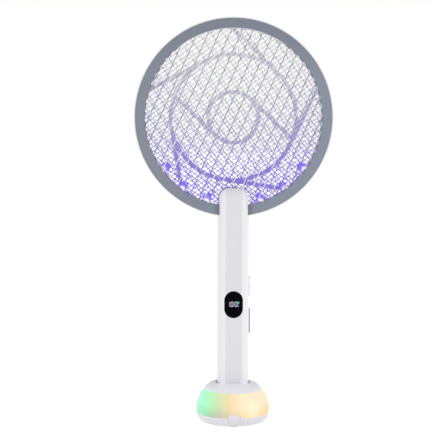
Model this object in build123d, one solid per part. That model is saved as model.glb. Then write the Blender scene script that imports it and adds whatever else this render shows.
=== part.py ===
from build123d import *

import math
import os

# Electric fly swatter standing upright in its round charging dock.
# Millimetres.  X to the right, Y to the back, Z up.  The origin is on the table, in the middle
# of the dock.  The racket's head is a disc whose axis is parallel to Y.

# ------------------------------------------------------------------ fits
fit_gap = 0.05          # pieces of one assembly that slot together
slide_gap = 0.25        # round a button or knob that moves in its opening
running_gap = 0.05      # a plunger in its sleeve
screw_gap = 0.3         # round a screw's shank in its clearance hole
screw_end_gap = 1.0     # between a screw's tip and the end of its pilot hole
small_flats = 8         # on small hidden bars and bores, which are octagons
seat_flats = 16         # on the sunk seats of screw heads
board_flats = 24        # on the ring board's edges

# ------------------------------------------------------------------ dock outline (radius, height)
foot_height = 2.0
dock_floor_radius = 33.2
dock_seam_radius = 42.3
dock_seam_height = 12.8
lamp_top_radius = 33.5
lamp_top_height = 39.9
dock_rim_radius = 19.4
dock_rim_height = 48.2
base_bulge = 2.75
lamp_bulge = 3.2
cover_bulge = 2.3
bow_runs = 4            # straight runs that follow each bowed edge
dock_wall = 2.0
dock_floor = 2.4
lamp_wall = 1.8
lip_height = 1.5
lip_wall = 1.3

# ------------------------------------------------------------------ dock insides
foot_radius = 5.5
foot_circle = 22.0
column_circle = 28.3
column_radius = 3.8
boss_radius = 3.0
dock_screw_grip = 7.5    # of the dock's screws in the cover's bosses
dock_screw_seat_drop = 4.0
light_board_height = 13.0
light_board_inner = 25.2
light_board_outer = 35.4
light_board_thick = 1.2
light_count = 12
light_circle = 33.0
light_size = 3.5
light_height = 1.9
board_thick = 1.6
chip_width = 6.0
chip_thick = 1.2
dock_board_height = 6.0
dock_board_half_width = 11.0
dock_board_front = 34.4
dock_board_back = 35.0
stake_radius = 1.0
stake_across = 16.0
stake_along = 50.0
weight_half_gap = 13.0
weight_radius = 33.8
weight_height = 7.0
inlet_width = 8.94
inlet_height = 3.2
inlet_length = 7.3
inlet_wall = 0.3
inlet_end_wall = 1.0
inlet_tongue_margin = 1.2
inlet_tongue_thick = 0.7
inlet_reach = 40.6
inlet_margin = 0.6

# ------------------------------------------------------------------ socket and contact pins
socket_floor_height = 16.0
socket_floor_thick = 2.0
socket_wall = 1.8
socket_gap = 0.5
socket_mouth_side_gap = 1.9
socket_mouth_front_gap = 0.7
socket_mouth_depth = 9.0
pin_spacing = 10.0
pin_radius = 0.8
pin_nose = 0.3
pin_travel = 0.8
pin_sleeve_radius = 1.5
pin_length = 6.3
contact_recess = 0.8
contact_radius = 2.0
contact_flange = 0.8
contact_flange_thick = 0.6

# ------------------------------------------------------------------ dock button
dock_button_width = 14.4
dock_button_height = 9.2
dock_button_corner = 3.6
dock_button_face_radius = 42.5
dock_button_flange_front = 37.7
dock_button_flange_thick = 1.0
dock_button_flange_margin = 0.8
button_travel = 0.8

# ------------------------------------------------------------------ tact switches
tact_width = 6.0
tact_depth = 3.6
tact_plunger_radius = 1.8
tact_bore_depth = 2.2
dock_tact_height = 5.0

# ------------------------------------------------------------------ handle
handle_width = 36.3
handle_depth = 30.0
handle_corner = 10.2
crown_radius = 13.5
handle_wall = 2.0
cap_thick = 2.6
cap_spigot = 3.4
cap_spigot_wall = 1.6
cap_chamfer = 1.0
parting_groove = 0.35
handle_boss_radius = 2.3
handle_screw_across = 24.8
handle_screw_rise = 7.4   # of the lowest screws above the shells' bottom
handle_screw_gap = 3.5    # between the middle screws and the push button's end
handle_screw_drop = 13.0  # of the highest screws below the upper end wall
screw_radius = 1.0
screw_head_radius = 2.1
screw_head_height = 1.5
lead_slot_width = 9.0

# ------------------------------------------------------------------ display
display_height = 140.1
display_width = 21.5
display_length = 31.3
display_thick = 1.4
display_ledge = 1.2
module_gap = 0.25

# ------------------------------------------------------------------ mode slide switch
mode_height = 160.3
mode_length = 22.2
mode_width = 7.2
mode_proud = 1.3
mode_recess = 0.8
mode_travel = 4.0
mode_ridge = 0.5
mode_ridge_length = 1.6
mode_stem_width = 3.0
mode_stem_length = 6.0
mode_lever_depth = 1.4
mode_body_length = 19.0
mode_body_width = 7.0
mode_body_depth = 5.0

# ------------------------------------------------------------------ push button
push_drop = 40.7         # of the button's middle below the mode switch's
push_length = 29.9
push_width = 8.0
push_proud = 1.8
push_edge = 1.0
push_flange_thick = 1.1
push_flange_margin = 1.0
push_flange_gap = 0.1

# ------------------------------------------------------------------ handle insides
battery_radius = 9.2
battery_length = 65.0
battery_button = 1.5
battery_button_radius = 3.0
battery_bottom = 31.5
holder_width = 22.0
holder_end = 1.6
clip_thick = 0.5
clip_width = 10.0
charge_board_height = 21.0
charge_board_width = 24.0
charge_board_depth = 17.0
main_board_bottom = 104.0
main_board_gap = 7.0     # under the handle's upper end wall
main_board_half_width = 9.8
main_board_front = 8.4
main_post_radius = 1.8
main_post_across = 14.0
main_post_inset = 8.0
side_board_left = 7.0
side_board_back = 5.0
side_board_bottom = 112.0
side_board_top = 172.0
stack_gap = 2.0          # between the parts on the main board's back
core_width = 13.0
core_depth = 6.0
core_length = 14.0
core_web = 2.5
winding_depth = 12.0
capacitor_width = 13.0
capacitor_depth = 9.0
capacitor_length = 12.0
capacitor_chamfer = 1.0
diode_width = 2.6
diode_thick = 2.2
diode_length = 4.6
diode_count = 4
diode_pitch = 3.6
lead_radius = 0.6
lead_spacing = 2.6
lead_bend = 3.0          # of the leads, below and above the handle's end wall

# ------------------------------------------------------------------ head
ring_height = 355.0
ring_front = 10.7        # front face of the ring, ahead of the head's middle plane
ring_inner_radius = 101.8
tongue_reach = 22.2      # of the handle past the ring's inner edge
bezel_thick = 1.2
bezel_gap = 0.2          # between the bezel and the frame's outer wall
bezel_edge = 0.5
frame_wall = 1.2
frame_back = 1.4
frame_front_step = 0.6
hoop_setback = 0.4       # of the hoops behind the ring's inner edge
hoop_width = 2.4
hoop_margin = 0.15
hoop_flats = 48
spacer_depth = 6.4
rib_ring_depth = 6.0
guard_wire = 1.0
guard_pitch = 11.4
guard_angles = (124.7, 65.9)
front_guard_phases = (8.35, 4.2)
rear_guard_phases = (0.3, 8.85)
spark_wire = 0.55
spark_pitch = 4.42
spark_angles = (146.2, 36.1)
spark_phases = (3.5, 0.5)
weld_gap = 0.02
rib_width = 4.5
rib_thick = 2.6
rib_set_back = 0.2
rib_inner_circle = 29.1
rib_middle_circle = 72.3
rib_outer_arms = 5
rib_outer_start = -26.6
rib_inner_arms = 2
rib_inner_start = 46.5
post_radius = 2.4
post_setback = 2.4       # of the screw posts outside the hoops
post_count = 6
post_to_wall = 1.0
post_pad_radius = 3.1
post_pad_height = 1.6
neck_post_across = 20.0
neck_screw_sink = 2.0
neck_screw_grip = 4.0    # ahead of the head's middle plane
led_radius = 1.5
led_flats = 12
led_nose = 0.9
led_flange = 0.4
led_flange_thick = 1.0
led_length = 7.0
led_end_gap = 0.4
hood_width = 10.4        # of the clear hood over each LED, along the ring
hood_thick = 5.0
hood_corner = 1.5
hood_reach = 10.6        # past the ring's inner edge
hood_taper = 4.0         # degrees
hood_nose = 1.3
led_angles = (-54.0, -36.0, -18.0, 18.0, 36.0, 54.0)
led_strip_thick = 0.8
led_strip_margin = 8.0   # degrees past the last LED
led_strip_width = 5.4

# ------------------------------------------------------------------ worked-out places
base_bottom = foot_height
floor_top = base_bottom + dock_floor
dock_board_top = dock_board_height + board_thick
light_board_top = light_board_height + light_board_thick
handle_bottom = socket_floor_height
shell_bottom = handle_bottom + cap_thick
hoop_inner_radius = ring_inner_radius + hoop_setback
hoop_outer_radius = hoop_inner_radius + hoop_width
post_circle = hoop_outer_radius + post_setback + post_radius
frame_inner_wall = post_circle + post_radius + post_to_wall
frame_radius = frame_inner_wall + frame_wall
bezel_radius = frame_inner_wall - bezel_gap
handle_top = ring_height - ring_inner_radius + tongue_reach
frame_outer_gap = frame_radius + fit_gap
head_bottom = ring_height - frame_outer_gap
half_width = handle_width / 2
half_depth = handle_depth / 2
inner_half_width = half_width - handle_wall
inner_half_depth = half_depth - handle_wall
push_height = mode_height - push_drop
cavity_top = head_bottom - handle_wall
handle_screw_heights = (
    shell_bottom + handle_screw_rise,
    push_height - push_length / 2 - handle_screw_gap,
    cavity_top - handle_screw_drop,
)
main_board_back = main_board_front - board_thick
main_board_top = cavity_top - main_board_gap
lead_end = main_board_top - stack_gap
diode_row = (diode_count - 1) * diode_pitch + diode_width
diode_bottom = lead_end - stack_gap - diode_row
core_bottom = diode_bottom - stack_gap - core_length
capacitor_bottom = core_bottom - stack_gap - capacitor_length
main_post_heights = (main_board_bottom + main_post_inset, main_board_top - main_post_inset)

# Depths of the head's layers, from its front face to its back face.
guard_hoop = 2 * guard_wire + weld_gap + 2 * hoop_margin
spark_hoop = 2 * spark_wire + weld_gap + 2 * hoop_margin
front_guard_front = -ring_front + bezel_thick
spacer_front = front_guard_front + guard_hoop
spark_front = spacer_front + spacer_depth
rib_ring_front = spark_front + spark_hoop
rear_guard_front = rib_ring_front + rib_ring_depth
frame_back_front = rear_guard_front + guard_hoop
ring_back = frame_back_front + frame_back
neck_post_drop = math.sqrt(post_circle ** 2 - (neck_post_across / 2) ** 2)
led_depth = spacer_front + spacer_depth / 2
led_base = hoop_outer_radius + led_flange_thick


# ------------------------------------------------------------------ shared shapes
def block(width, depth, height, x=0.0, y=0.0, bottom=0.0):
    """Upright box centred on (x, y) that stands on the given height."""
    return Pos(x, y, bottom + height / 2) * Box(width, depth, height)


def disc(radius, flats=0):
    """Circle, or the polygon in it that small hidden bars and bores have instead."""
    return RegularPolygon(radius, flats) if flats else Circle(radius)


def upright(radius, bottom, top, x=0.0, y=0.0, flats=0):
    """Upright bar from one height to another, round or with flats."""
    return extrude(Pos(x, y, bottom) * disc(radius, flats), top - bottom)


def front_bar(radius, front, back, x=0.0, z=0.0, flats=0):
    """Bar along Y from its front end to its back end, round or with flats."""
    return front_prism(disc(radius, flats), front, back, x, z)


def side_bar(radius, left, right, y=0.0, z=0.0, flats=0):
    """Bar along X from its left end to its right end, round or with flats."""
    return side_prism(disc(radius, flats), left, right, y, z)


def front_prism(sketch, front, back, x=0.0, z=0.0):
    """Outline seen from the front, carried along Y from front to back."""
    plane = Plane(origin=(x, back, z), x_dir=(1, 0, 0), z_dir=(0, -1, 0))
    return extrude(plane * sketch, back - front)


def side_prism(sketch, left, right, y=0.0, z=0.0):
    """Outline seen from the right, with its length upright, carried along X."""
    plane = Plane(origin=(left, y, z), x_dir=(0, 1, 0), z_dir=(1, 0, 0))
    return extrude(plane * sketch, right - left)


def oblong(width, height):
    """Upright stadium."""
    return Rot(0, 0, 90) * SlotOverall(height, width)


def level_slot(width, height):
    """Level stadium."""
    return SlotOverall(width, height)


def turned_about_z(points):
    """Closed outline of (radius, height) corners turned about the dock's axis."""
    corners = [(radius, 0, height) for radius, height in points]
    return revolve(make_face(Polyline(*corners, close=True)), Axis.Z, 360)


def turned_about_head(points, start=0.0, sweep=360.0):
    """Closed outline of (radius, depth) corners turned about the head's axis."""
    outline = make_face(Polyline(*points, close=True))
    return Pos(0, 0, ring_height) * Rot(0, start, 0) * revolve(outline, Axis.Y, sweep)


def head_band(inner, outer, front, back):
    """Flat ring of the head with a plain rectangular section."""
    return turned_about_head([(inner, front), (outer, front), (outer, back), (inner, back)])


def on_circle(radius, angle):
    """Point of a circle, its angle in degrees from X."""
    turn = math.radians(angle)
    return radius * math.cos(turn), radius * math.sin(turn)


def group(pieces):
    """Separate solids that share one node."""
    return Compound(children=[solid for piece in pieces for solid in piece.solids()])


def screw(length, head_height):
    """Screw with its head's underside at the origin and its tip towards +Z."""
    shank = upright(screw_radius, 0, length, flats=small_flats)
    head = upright(screw_head_radius, -head_height, 0, flats=small_flats)
    return shank + head


# ------------------------------------------------------------------ dock
def bow(start, end, bulge):
    """Points along the arc that bows outwards from start to end, for straight runs."""
    chord = math.dist(start, end)
    along = ((end[0] - start[0]) / chord, (end[1] - start[1]) / chord)
    outward = (along[1], -along[0])
    radius = (chord ** 2 / 4 + bulge ** 2) / (2 * bulge)
    half_turn = math.asin(chord / 2 / radius)
    points = []
    for number in range(bow_runs + 1):
        turn = half_turn * (2 * number / bow_runs - 1)
        forward = chord / 2 + radius * math.sin(turn)
        out = radius * math.cos(turn) - radius + bulge
        points.append((
            start[0] + along[0] * forward + outward[0] * out,
            start[1] + along[1] * forward + outward[1] * out,
        ))
    return points


base_start = (dock_floor_radius, base_bottom)
base_end = (dock_seam_radius, dock_seam_height)
lamp_end = (lamp_top_radius, lamp_top_height)
cover_end = (dock_rim_radius, dock_rim_height)
column_places = [on_circle(column_circle, 45 + 90 * turn) for turn in range(4)]
stake_places = [(x, y) for x in (-stake_across / 2, stake_across / 2)
                for y in (-stake_along / 2, stake_along / 2)]
pin_places = (-pin_spacing / 2, pin_spacing / 2)
column_bore = screw_radius + screw_gap
seat_radius = screw_head_radius + screw_gap
dock_screw_seat = light_board_height - dock_screw_seat_drop
dock_reach = dock_seam_radius + lamp_bulge


def dock_button_opening():
    """Oblong window through the dock's front wall and lamp."""
    outline = RectangleRounded(
        dock_button_width + 2 * slide_gap,
        dock_button_height + 2 * slide_gap,
        dock_button_corner + slide_gap,
    )
    return front_prism(outline, -dock_reach, -light_board_outer, z=dock_seam_height)


def make_dock_base_shell():
    """White lower bowl: floor, bowed wall, lip for the lamp, screw columns and board stakes."""
    inner_start = (dock_floor_radius + dock_wall / 2, floor_top)
    inner_end = (dock_seam_radius - lamp_wall - fit_gap - lip_wall, dock_seam_height + lip_height)
    bowl = turned_about_z([
        *bow(base_start, base_end, base_bulge),
        (dock_seam_radius - lamp_wall - fit_gap, dock_seam_height),
        (dock_seam_radius - lamp_wall - fit_gap, dock_seam_height + lip_height),
        inner_end,
        bow(base_start, base_end, base_bulge - dock_wall)[bow_runs // 2],
        inner_start,
        (0, floor_top),
        (0, base_bottom),
    ])
    for x, y in column_places:
        bowl += upright(column_radius, floor_top, light_board_height, x, y, small_flats)
    for x, y in stake_places:
        bowl += upright(2 * stake_radius, floor_top, dock_board_height, x, y, small_flats)
        bowl += upright(
            stake_radius - fit_gap, floor_top, dock_board_top + stake_radius, x, y, small_flats)
    for x, y in column_places:
        bowl -= upright(column_bore, base_bottom, light_board_height, x, y, small_flats)
        bowl -= upright(seat_radius, base_bottom, dock_screw_seat, x, y, seat_flats)
    hole = level_slot(inlet_width + inlet_margin, inlet_height + inlet_margin)
    inlet_middle = dock_board_top + inlet_height / 2
    bowl -= front_prism(hole, dock_board_back, dock_reach, z=inlet_middle)
    return bowl - dock_button_opening()


def make_dock_feet():
    """Four round rubber feet glued to the floor."""
    feet = []
    for turn in range(4):
        x, y = on_circle(foot_circle, 90 * turn)
        feet.append(upright(foot_radius, 0, base_bottom, x, y))
    return group(feet)


def make_dock_weights():
    """Two steel crescents beside the control board, round the screw columns."""
    top = floor_top + weight_height
    weights = upright(weight_radius, floor_top, top)
    weights -= block(2 * weight_half_gap, 4 * weight_radius, 3 * weight_height)
    for x, y in column_places:
        weights -= upright(column_radius + slide_gap, floor_top, top, x, y, small_flats)
    return group([weights])


def make_dock_control_board():
    """Board on four stakes, with the inlet at its back and the switch at its front."""
    length = dock_board_front + dock_board_back
    middle = (dock_board_back - dock_board_front) / 2
    board = block(2 * dock_board_half_width, length, board_thick, y=middle, bottom=dock_board_height)
    for x, y in stake_places:
        board -= upright(stake_radius, dock_board_height, dock_board_top, x, y, small_flats)
    return board + block(
        chip_width, chip_width, chip_thick, y=-dock_board_front / 2, bottom=dock_board_top)


def make_charge_inlet():
    """Metal shell of the charging inlet with its tongue, its mouth near the dock's back wall."""
    middle = dock_board_top + inlet_height / 2
    front = inlet_reach - inlet_length
    outer = level_slot(inlet_width, inlet_height)
    inner = level_slot(inlet_width - 2 * inlet_wall, inlet_height - 2 * inlet_wall)
    shell = front_prism(outer, front, inlet_reach, z=middle)
    shell -= front_prism(inner, front + inlet_end_wall, inlet_reach, z=middle)
    tongue = Rectangle(inlet_width - 2 * inlet_tongue_margin, inlet_tongue_thick)
    return shell + front_prism(tongue, front, inlet_reach - inlet_tongue_margin, z=middle)


def tact_body(depth_bottom):
    """Switch housing that faces -Y from the origin, with a bore for its plunger."""
    body = Pos(0, tact_depth / 2, 0) * Box(tact_width, tact_depth, depth_bottom)
    return body - front_bar(tact_plunger_radius + running_gap, 0, tact_bore_depth, flats=small_flats)


dock_tact_middle = dock_board_top + dock_tact_height / 2
dock_tact_face = -dock_button_flange_front + dock_button_flange_thick + 2.5
push_flange_outer = inner_half_width - push_flange_gap
push_flange_inner = push_flange_outer - push_flange_thick
side_board_right = side_board_left + board_thick
push_tact_face = side_board_right + tact_depth


def make_dock_tact_switch():
    """Switch behind the dock button, on the front end of the board."""
    return Pos(0, dock_tact_face, dock_tact_middle) * tact_body(dock_tact_height)


def make_charge_pin_sleeves():
    """Two sleeves on the control board that guide the contact pins."""
    sleeves = []
    for x in pin_places:
        top = socket_floor_height - socket_floor_thick
        sleeve = upright(pin_sleeve_radius, dock_board_top, top, x, flats=small_flats)
        bore_bottom = pin_tip - pin_length - pin_travel - running_gap
        sleeve -= upright(pin_radius + running_gap, bore_bottom, top, x, flats=small_flats)
        sleeves.append(sleeve)
    return group(sleeves)


pin_tip = socket_floor_height + contact_recess


def make_charge_pin(x):
    """Spring contact pin, its tip against the racket's contact."""
    pin = upright(pin_radius, pin_tip - pin_length, pin_tip, x, flats=small_flats)
    return chamfer(pin.edges().group_by(Axis.Z)[-1], pin_nose)


def make_light_ring_board():
    """Ring board round the socket, clamped between the columns and the cover's bosses."""
    ring = upright(light_board_outer, light_board_height, light_board_top, flats=board_flats)
    ring -= upright(light_board_inner, light_board_height, light_board_top, flats=board_flats)
    for x, y in column_places:
        ring -= upright(column_bore, light_board_height, light_board_top, x, y, small_flats)
    return ring


def make_light_ring_leds():
    """Coloured LEDs spread round the ring board."""
    leds = []
    for number in range(light_count):
        angle = number * 360 / light_count
        led = block(light_size, light_size, light_height, x=light_circle, bottom=light_board_top)
        leds.append(Rot(0, 0, angle) * led)
    return group(leds)


def make_lamp_diffuser():
    """Translucent bowed band between the lower shell and the top cover."""
    inner_start = (dock_seam_radius - lamp_wall, dock_seam_height + lip_height + fit_gap)
    inner_end = (lamp_top_radius - lamp_wall, lamp_top_height)
    band = turned_about_z([
        *bow(base_end, lamp_end, lamp_bulge),
        *reversed(bow(inner_start, inner_end, lamp_bulge)),
        (dock_seam_radius - lamp_wall, dock_seam_height),
    ])
    return band - dock_button_opening()


def socket_outline(side_gap, front_gap):
    """Outline of the handle widened at its sides and at its front and back."""
    return RectangleRounded(
        handle_width + 2 * side_gap, handle_depth + 2 * front_gap, handle_corner + front_gap)


def socket_space():
    """Space for the handle's foot: straight walls and a wider mouth with sloping sides."""
    straight = dock_rim_height - socket_floor_height
    space = extrude(
        Pos(0, 0, socket_floor_height) * socket_outline(socket_gap, socket_gap), straight)
    spread = socket_mouth_side_gap - socket_gap
    mouth_bottom = dock_rim_height - socket_mouth_depth
    mouth_outline = socket_outline(socket_mouth_side_gap, socket_mouth_front_gap)
    mouth = extrude(Pos(0, 0, mouth_bottom) * mouth_outline, 2 * socket_mouth_depth)
    floor_face = mouth.faces().sort_by(Axis.Z)[0]
    return space + chamfer(
        floor_face.edges(), spread, socket_mouth_depth, reference=floor_face)


def make_dock_top_cover():
    """White cover: bowed cap, skirt inside the lamp, socket and four screw bosses."""
    skirt_radius = lamp_top_radius - lamp_wall - fit_gap
    skirt_bottom = lamp_top_height - 2 * lip_height
    under_start = (skirt_radius, lamp_top_height)
    under_end = (dock_rim_radius, dock_rim_height - dock_wall)
    under_middle = bow(under_start, under_end, cover_bulge)[bow_runs // 2]
    cap = turned_about_z([
        *bow(lamp_end, cover_end, cover_bulge),
        (0, dock_rim_height),
        (0, dock_rim_height - dock_wall),
        under_end,
        under_middle,
        (skirt_radius - lip_wall, lamp_top_height),
        (skirt_radius - lip_wall, skirt_bottom),
        (skirt_radius, skirt_bottom),
        (skirt_radius, lamp_top_height),
    ])
    inside_cap = turned_about_z([
        (0, 0),
        (skirt_radius, 0),
        (skirt_radius, lamp_top_height),
        under_middle,
        under_end,
        (0, dock_rim_height - dock_wall),
    ])
    well_bottom = socket_floor_height - socket_floor_thick
    well_outline = socket_outline(
        socket_mouth_side_gap + socket_wall, socket_mouth_front_gap + socket_wall)
    well = extrude(Pos(0, 0, well_bottom) * well_outline, dock_rim_height - well_bottom)
    bosses = [upright(boss_radius, light_board_top, dock_rim_height, x, y, small_flats)
              for x, y in column_places]
    cover = cap + ((well + bosses) & inside_cap) - socket_space()
    for x, y in column_places:
        pilot_top = light_board_top + dock_screw_grip + screw_end_gap
        cover -= upright(screw_radius + fit_gap, light_board_top, pilot_top, x, y, small_flats)
    for x in pin_places:
        cover -= upright(pin_radius + slide_gap, 0, socket_floor_height, x, flats=small_flats)
    return cover


def make_dock_screws():
    """Four screws up through the columns into the cover's bosses."""
    length = light_board_top + dock_screw_grip - dock_screw_seat
    one = screw(length, screw_head_height)
    return group([Pos(x, y, dock_screw_seat) * one for x, y in column_places])


def make_dock_button():
    """White oblong button with an upright curved face and a flange behind the wall."""
    flange_back = -dock_button_flange_front + dock_button_flange_thick
    outline = RectangleRounded(dock_button_width, dock_button_height, dock_button_corner)
    key = front_prism(outline, -2 * dock_seam_radius, flange_back, z=dock_seam_height)
    key &= upright(dock_button_face_radius, 0, dock_rim_height)
    flange_outline = RectangleRounded(
        dock_button_width + 2 * dock_button_flange_margin,
        dock_button_height + 2 * dock_button_flange_margin,
        dock_button_corner,
    )
    flange = front_prism(
        flange_outline, -dock_button_flange_front, flange_back, z=dock_seam_height)
    return key + flange


def make_dock_tact_plunger():
    """Switch plunger that the dock button pushes."""
    start = -dock_button_flange_front + dock_button_flange_thick
    end = dock_tact_face + tact_bore_depth - button_travel - running_gap
    return front_bar(tact_plunger_radius, start, end, z=dock_tact_middle, flats=small_flats)


# ------------------------------------------------------------------ handle
def handle_form(inset, bottom, top):
    """Handle's outer form drawn in by an inset: a tall slab with a rounded crown and soft edges."""
    width = handle_width - 2 * inset
    depth = handle_depth - 2 * inset
    height = top - bottom
    slab = block(width, depth, height, bottom=bottom)
    crown = slab.edges().filter_by(Axis.Y).group_by(Axis.Z)[-1]
    slab = fillet(crown, crown_radius - inset)
    front = slab.faces().sort_by(Axis.Y)[0]
    back = slab.faces().sort_by(Axis.Y)[-1]
    edges = [edge for face in (front, back) for edge in face.edges()]
    soft = [edge for edge in edges if edge.center().Z > bottom + 1e-3]
    return fillet(soft, handle_corner - inset)


def head_notch():
    """Space that the head takes out of the handle's upper end."""
    return head_band(0, frame_outer_gap, -ring_front, ring_back)


def tongue_pad(front, back):
    """Step of the tongue that reaches past the ring's face to the guard net."""
    reach = head_band(0, ring_inner_radius - slide_gap, front, back)
    return reach & handle_body


def inner_section_prism(inset, bottom, top):
    """The handle's inner section, drawn in by an inset, from one height to another."""
    section = RectangleRounded(
        2 * (inner_half_width - inset),
        2 * (inner_half_depth - inset),
        handle_corner - handle_wall - inset,
    )
    return extrude(Pos(0, 0, bottom) * section, top - bottom)


def handle_cavity():
    """Hollow of the handle, from the bottom cap up to just under the ring."""
    return inner_section_prism(0, shell_bottom, cavity_top)


def mode_openings():
    """Recess and slot of the mode switch in the right side of the handle."""
    recess = side_prism(
        Rectangle(
            mode_width + 2 * slide_gap,
            mode_length + 2 * (mode_travel + slide_gap),
        ),
        half_width - mode_recess, half_width + 1, z=mode_height,
    )
    slot = side_prism(
        Rectangle(
            mode_stem_width + 2 * slide_gap,
            mode_stem_length + 2 * (mode_travel + slide_gap),
        ),
        inner_half_width - 1, half_width, z=mode_height,
    )
    return recess + slot


def push_opening():
    """Stadium opening of the push button."""
    outline = oblong(push_width + 2 * slide_gap, push_length + 2 * slide_gap)
    return side_prism(outline, inner_half_width - 1, half_width + 1, z=push_height)


def display_outline(inset):
    """Stadium of the display, drawn in by an inset."""
    return oblong(display_width - 2 * inset, display_length - 2 * inset)


handle_screw_places = [
    (x, z)
    for z in handle_screw_heights
    for x in (-handle_screw_across / 2, handle_screw_across / 2)
]
neck_screw_places = [
    (x, ring_height - neck_post_drop) for x in (-neck_post_across / 2, neck_post_across / 2)
]
head_edge = handle_screw_across / 2 + screw_head_radius - (half_width - handle_corner)
shoulder_at_head = half_depth - handle_corner + math.sqrt(handle_corner ** 2 - head_edge ** 2)
handle_screw_seat = shoulder_at_head - screw_head_height
handle_pilot_front = -inner_half_depth + handle_wall
neck_screw_seat = half_depth - neck_screw_sink


handle_body = handle_form(0, shell_bottom, handle_top)


def handle_half(cavity, front):
    """One half of the handle, with its share of the openings."""
    reach = 2 * half_depth
    side = -1 if front else 1
    keep = block(2 * handle_width, reach, 2 * handle_top, y=side * reach / 2)
    half = (handle_body & keep) - head_notch() - cavity
    half -= block(lead_slot_width, 2 * (ring_front - bezel_thick), 4 * handle_wall,
                  bottom=cavity_top - handle_wall)
    half -= mode_openings()
    half -= push_opening()
    return half


def handle_boss(side, x, z):
    """Screw boss from the parting plane to the front (-1) or back (1) wall."""
    reach = side * half_depth
    boss = front_bar(handle_boss_radius, min(0, reach), max(0, reach), x, z, small_flats)
    return boss & handle_body


def make_handle_front_shell():
    """Front half: tongue over the ring, display opening, board posts and screw bosses."""
    shell = handle_half(handle_cavity(), True)
    shell += tongue_pad(-ring_front, -ring_front + bezel_thick)
    parting = block(2 * handle_width, parting_groove, 2 * handle_top, y=-parting_groove / 2)
    shell -= parting & (handle_body - handle_form(parting_groove, 0, handle_top - parting_groove))
    for x, z in handle_screw_places:
        shell += handle_boss(-1, x, z)
    for x in (-main_post_across / 2, main_post_across / 2):
        for z in main_post_heights:
            shell += front_bar(
                main_post_radius, -inner_half_depth, -main_board_front, x, z, small_flats)
    for x, z in neck_screw_places:
        shell += front_bar(post_radius, -ring_front, frame_back_front, x, z, small_flats)
        pilot_front = -ring_front + bezel_thick
        shell -= front_bar(
            screw_radius + fit_gap, pilot_front, frame_back_front, x, z, small_flats)
    for x, z in handle_screw_places:
        shell -= front_bar(screw_radius + fit_gap, handle_pilot_front, 0, x, z, small_flats)
    window_back = -inner_half_depth + handle_wall / 2
    shell -= front_prism(
        display_outline(display_ledge), -handle_depth, window_back, z=display_height)
    rebate = front_prism(display_outline(0), -handle_depth, window_back, z=display_height)
    inner_form = handle_form(display_thick, 0, handle_top - display_thick)
    return shell - (rebate - inner_form)


def make_handle_rear_shell():
    """Back half: rear tongue, screw bosses and sunk screw seats."""
    shell = handle_half(handle_cavity(), False)
    shell += tongue_pad(frame_back_front, ring_back)
    for x, z in handle_screw_places:
        shell += handle_boss(1, x, z)
    for x, z in handle_screw_places:
        shell -= front_bar(screw_radius + screw_gap, 0, half_depth, x, z, small_flats)
        shell -= front_bar(seat_radius, handle_screw_seat, handle_depth, x, z, seat_flats)
    for x, z in neck_screw_places:
        shell -= front_bar(screw_radius + screw_gap, 0, half_depth, x, z, small_flats)
        shell -= front_bar(seat_radius, neck_screw_seat, handle_depth, x, z, seat_flats)
    return shell


def make_handle_end_cap():
    """Cap that closes the handle's foot and holds the charging contacts."""
    section = RectangleRounded(handle_width, handle_depth, handle_corner)
    plate = extrude(Pos(0, 0, handle_bottom) * section, cap_thick)
    plate = chamfer(plate.edges().group_by(Axis.Z)[0], cap_chamfer)
    spigot_top = shell_bottom + cap_spigot
    plate += inner_section_prism(fit_gap, shell_bottom, spigot_top)
    plate -= inner_section_prism(cap_spigot_wall, shell_bottom, spigot_top)
    for x in pin_places:
        plate -= upright(contact_radius, handle_bottom, shell_bottom, x, flats=small_flats)
    return plate


def make_charging_contacts():
    """Two flanged contacts, sunk in the cap and reaching up to the charge board."""
    contacts = []
    for x in pin_places:
        stud = upright(
            contact_radius - fit_gap, pin_tip, charge_board_height, x, flats=small_flats)
        flange_top = shell_bottom + contact_flange_thick
        stud += upright(
            contact_radius + contact_flange, shell_bottom, flange_top, x, flats=small_flats)
        contacts.append(stud)
    return group(contacts)


def make_charge_board():
    """Small level board on the charging contacts."""
    return block(charge_board_width, charge_board_depth, board_thick, bottom=charge_board_height)


def make_battery_cell():
    """Cylindrical cell with its button end up."""
    top = battery_bottom + battery_length
    cell = upright(battery_radius, battery_bottom, top - battery_button)
    return cell + upright(battery_button_radius, top - battery_button, top)


def make_battery_holder():
    """Trough fixed to the back wall, with an end wall above and below the cell."""
    length = battery_length + 2 * (clip_thick + holder_end)
    bottom = battery_bottom - clip_thick - holder_end
    depth = inner_half_depth - battery_radius / 2
    trough = block(holder_width, depth, length, y=inner_half_depth - depth / 2, bottom=bottom)
    trough &= inner_section_prism(fit_gap, bottom, bottom + length)
    hollow_length = battery_length + 2 * clip_thick
    trough -= upright(battery_radius + fit_gap, bottom + holder_end,
                      bottom + holder_end + hollow_length)
    return trough


def make_battery_clips():
    """Contact plates between the cell's ends and the trough's end walls."""
    low = battery_bottom - clip_thick
    high = battery_bottom + battery_length
    depth = math.sqrt(battery_radius ** 2 - (clip_width / 2) ** 2)
    plates = [block(clip_width, depth, clip_thick, y=depth / 2, bottom=bottom)
              for bottom in (low, high)]
    return group(plates)


def make_main_board():
    """Upright board behind the display, on the front shell's posts."""
    height = main_board_top - main_board_bottom
    middle = -main_board_front + board_thick / 2
    board = block(2 * main_board_half_width, board_thick, height, y=middle, bottom=main_board_bottom)
    chip_middle = -main_board_back + chip_thick / 2
    chip_bottom = capacitor_bottom - stack_gap - chip_width
    return board + block(chip_width, chip_thick, chip_width, y=chip_middle, bottom=chip_bottom)


def make_switch_board():
    """Side board that stands on the main board and carries both switches."""
    height = side_board_top - side_board_bottom
    depth = main_board_back + side_board_back
    middle = (side_board_back - main_board_back) / 2
    x = side_board_left + board_thick / 2
    return block(board_thick, depth, height, x=x, y=middle, bottom=side_board_bottom)


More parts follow.
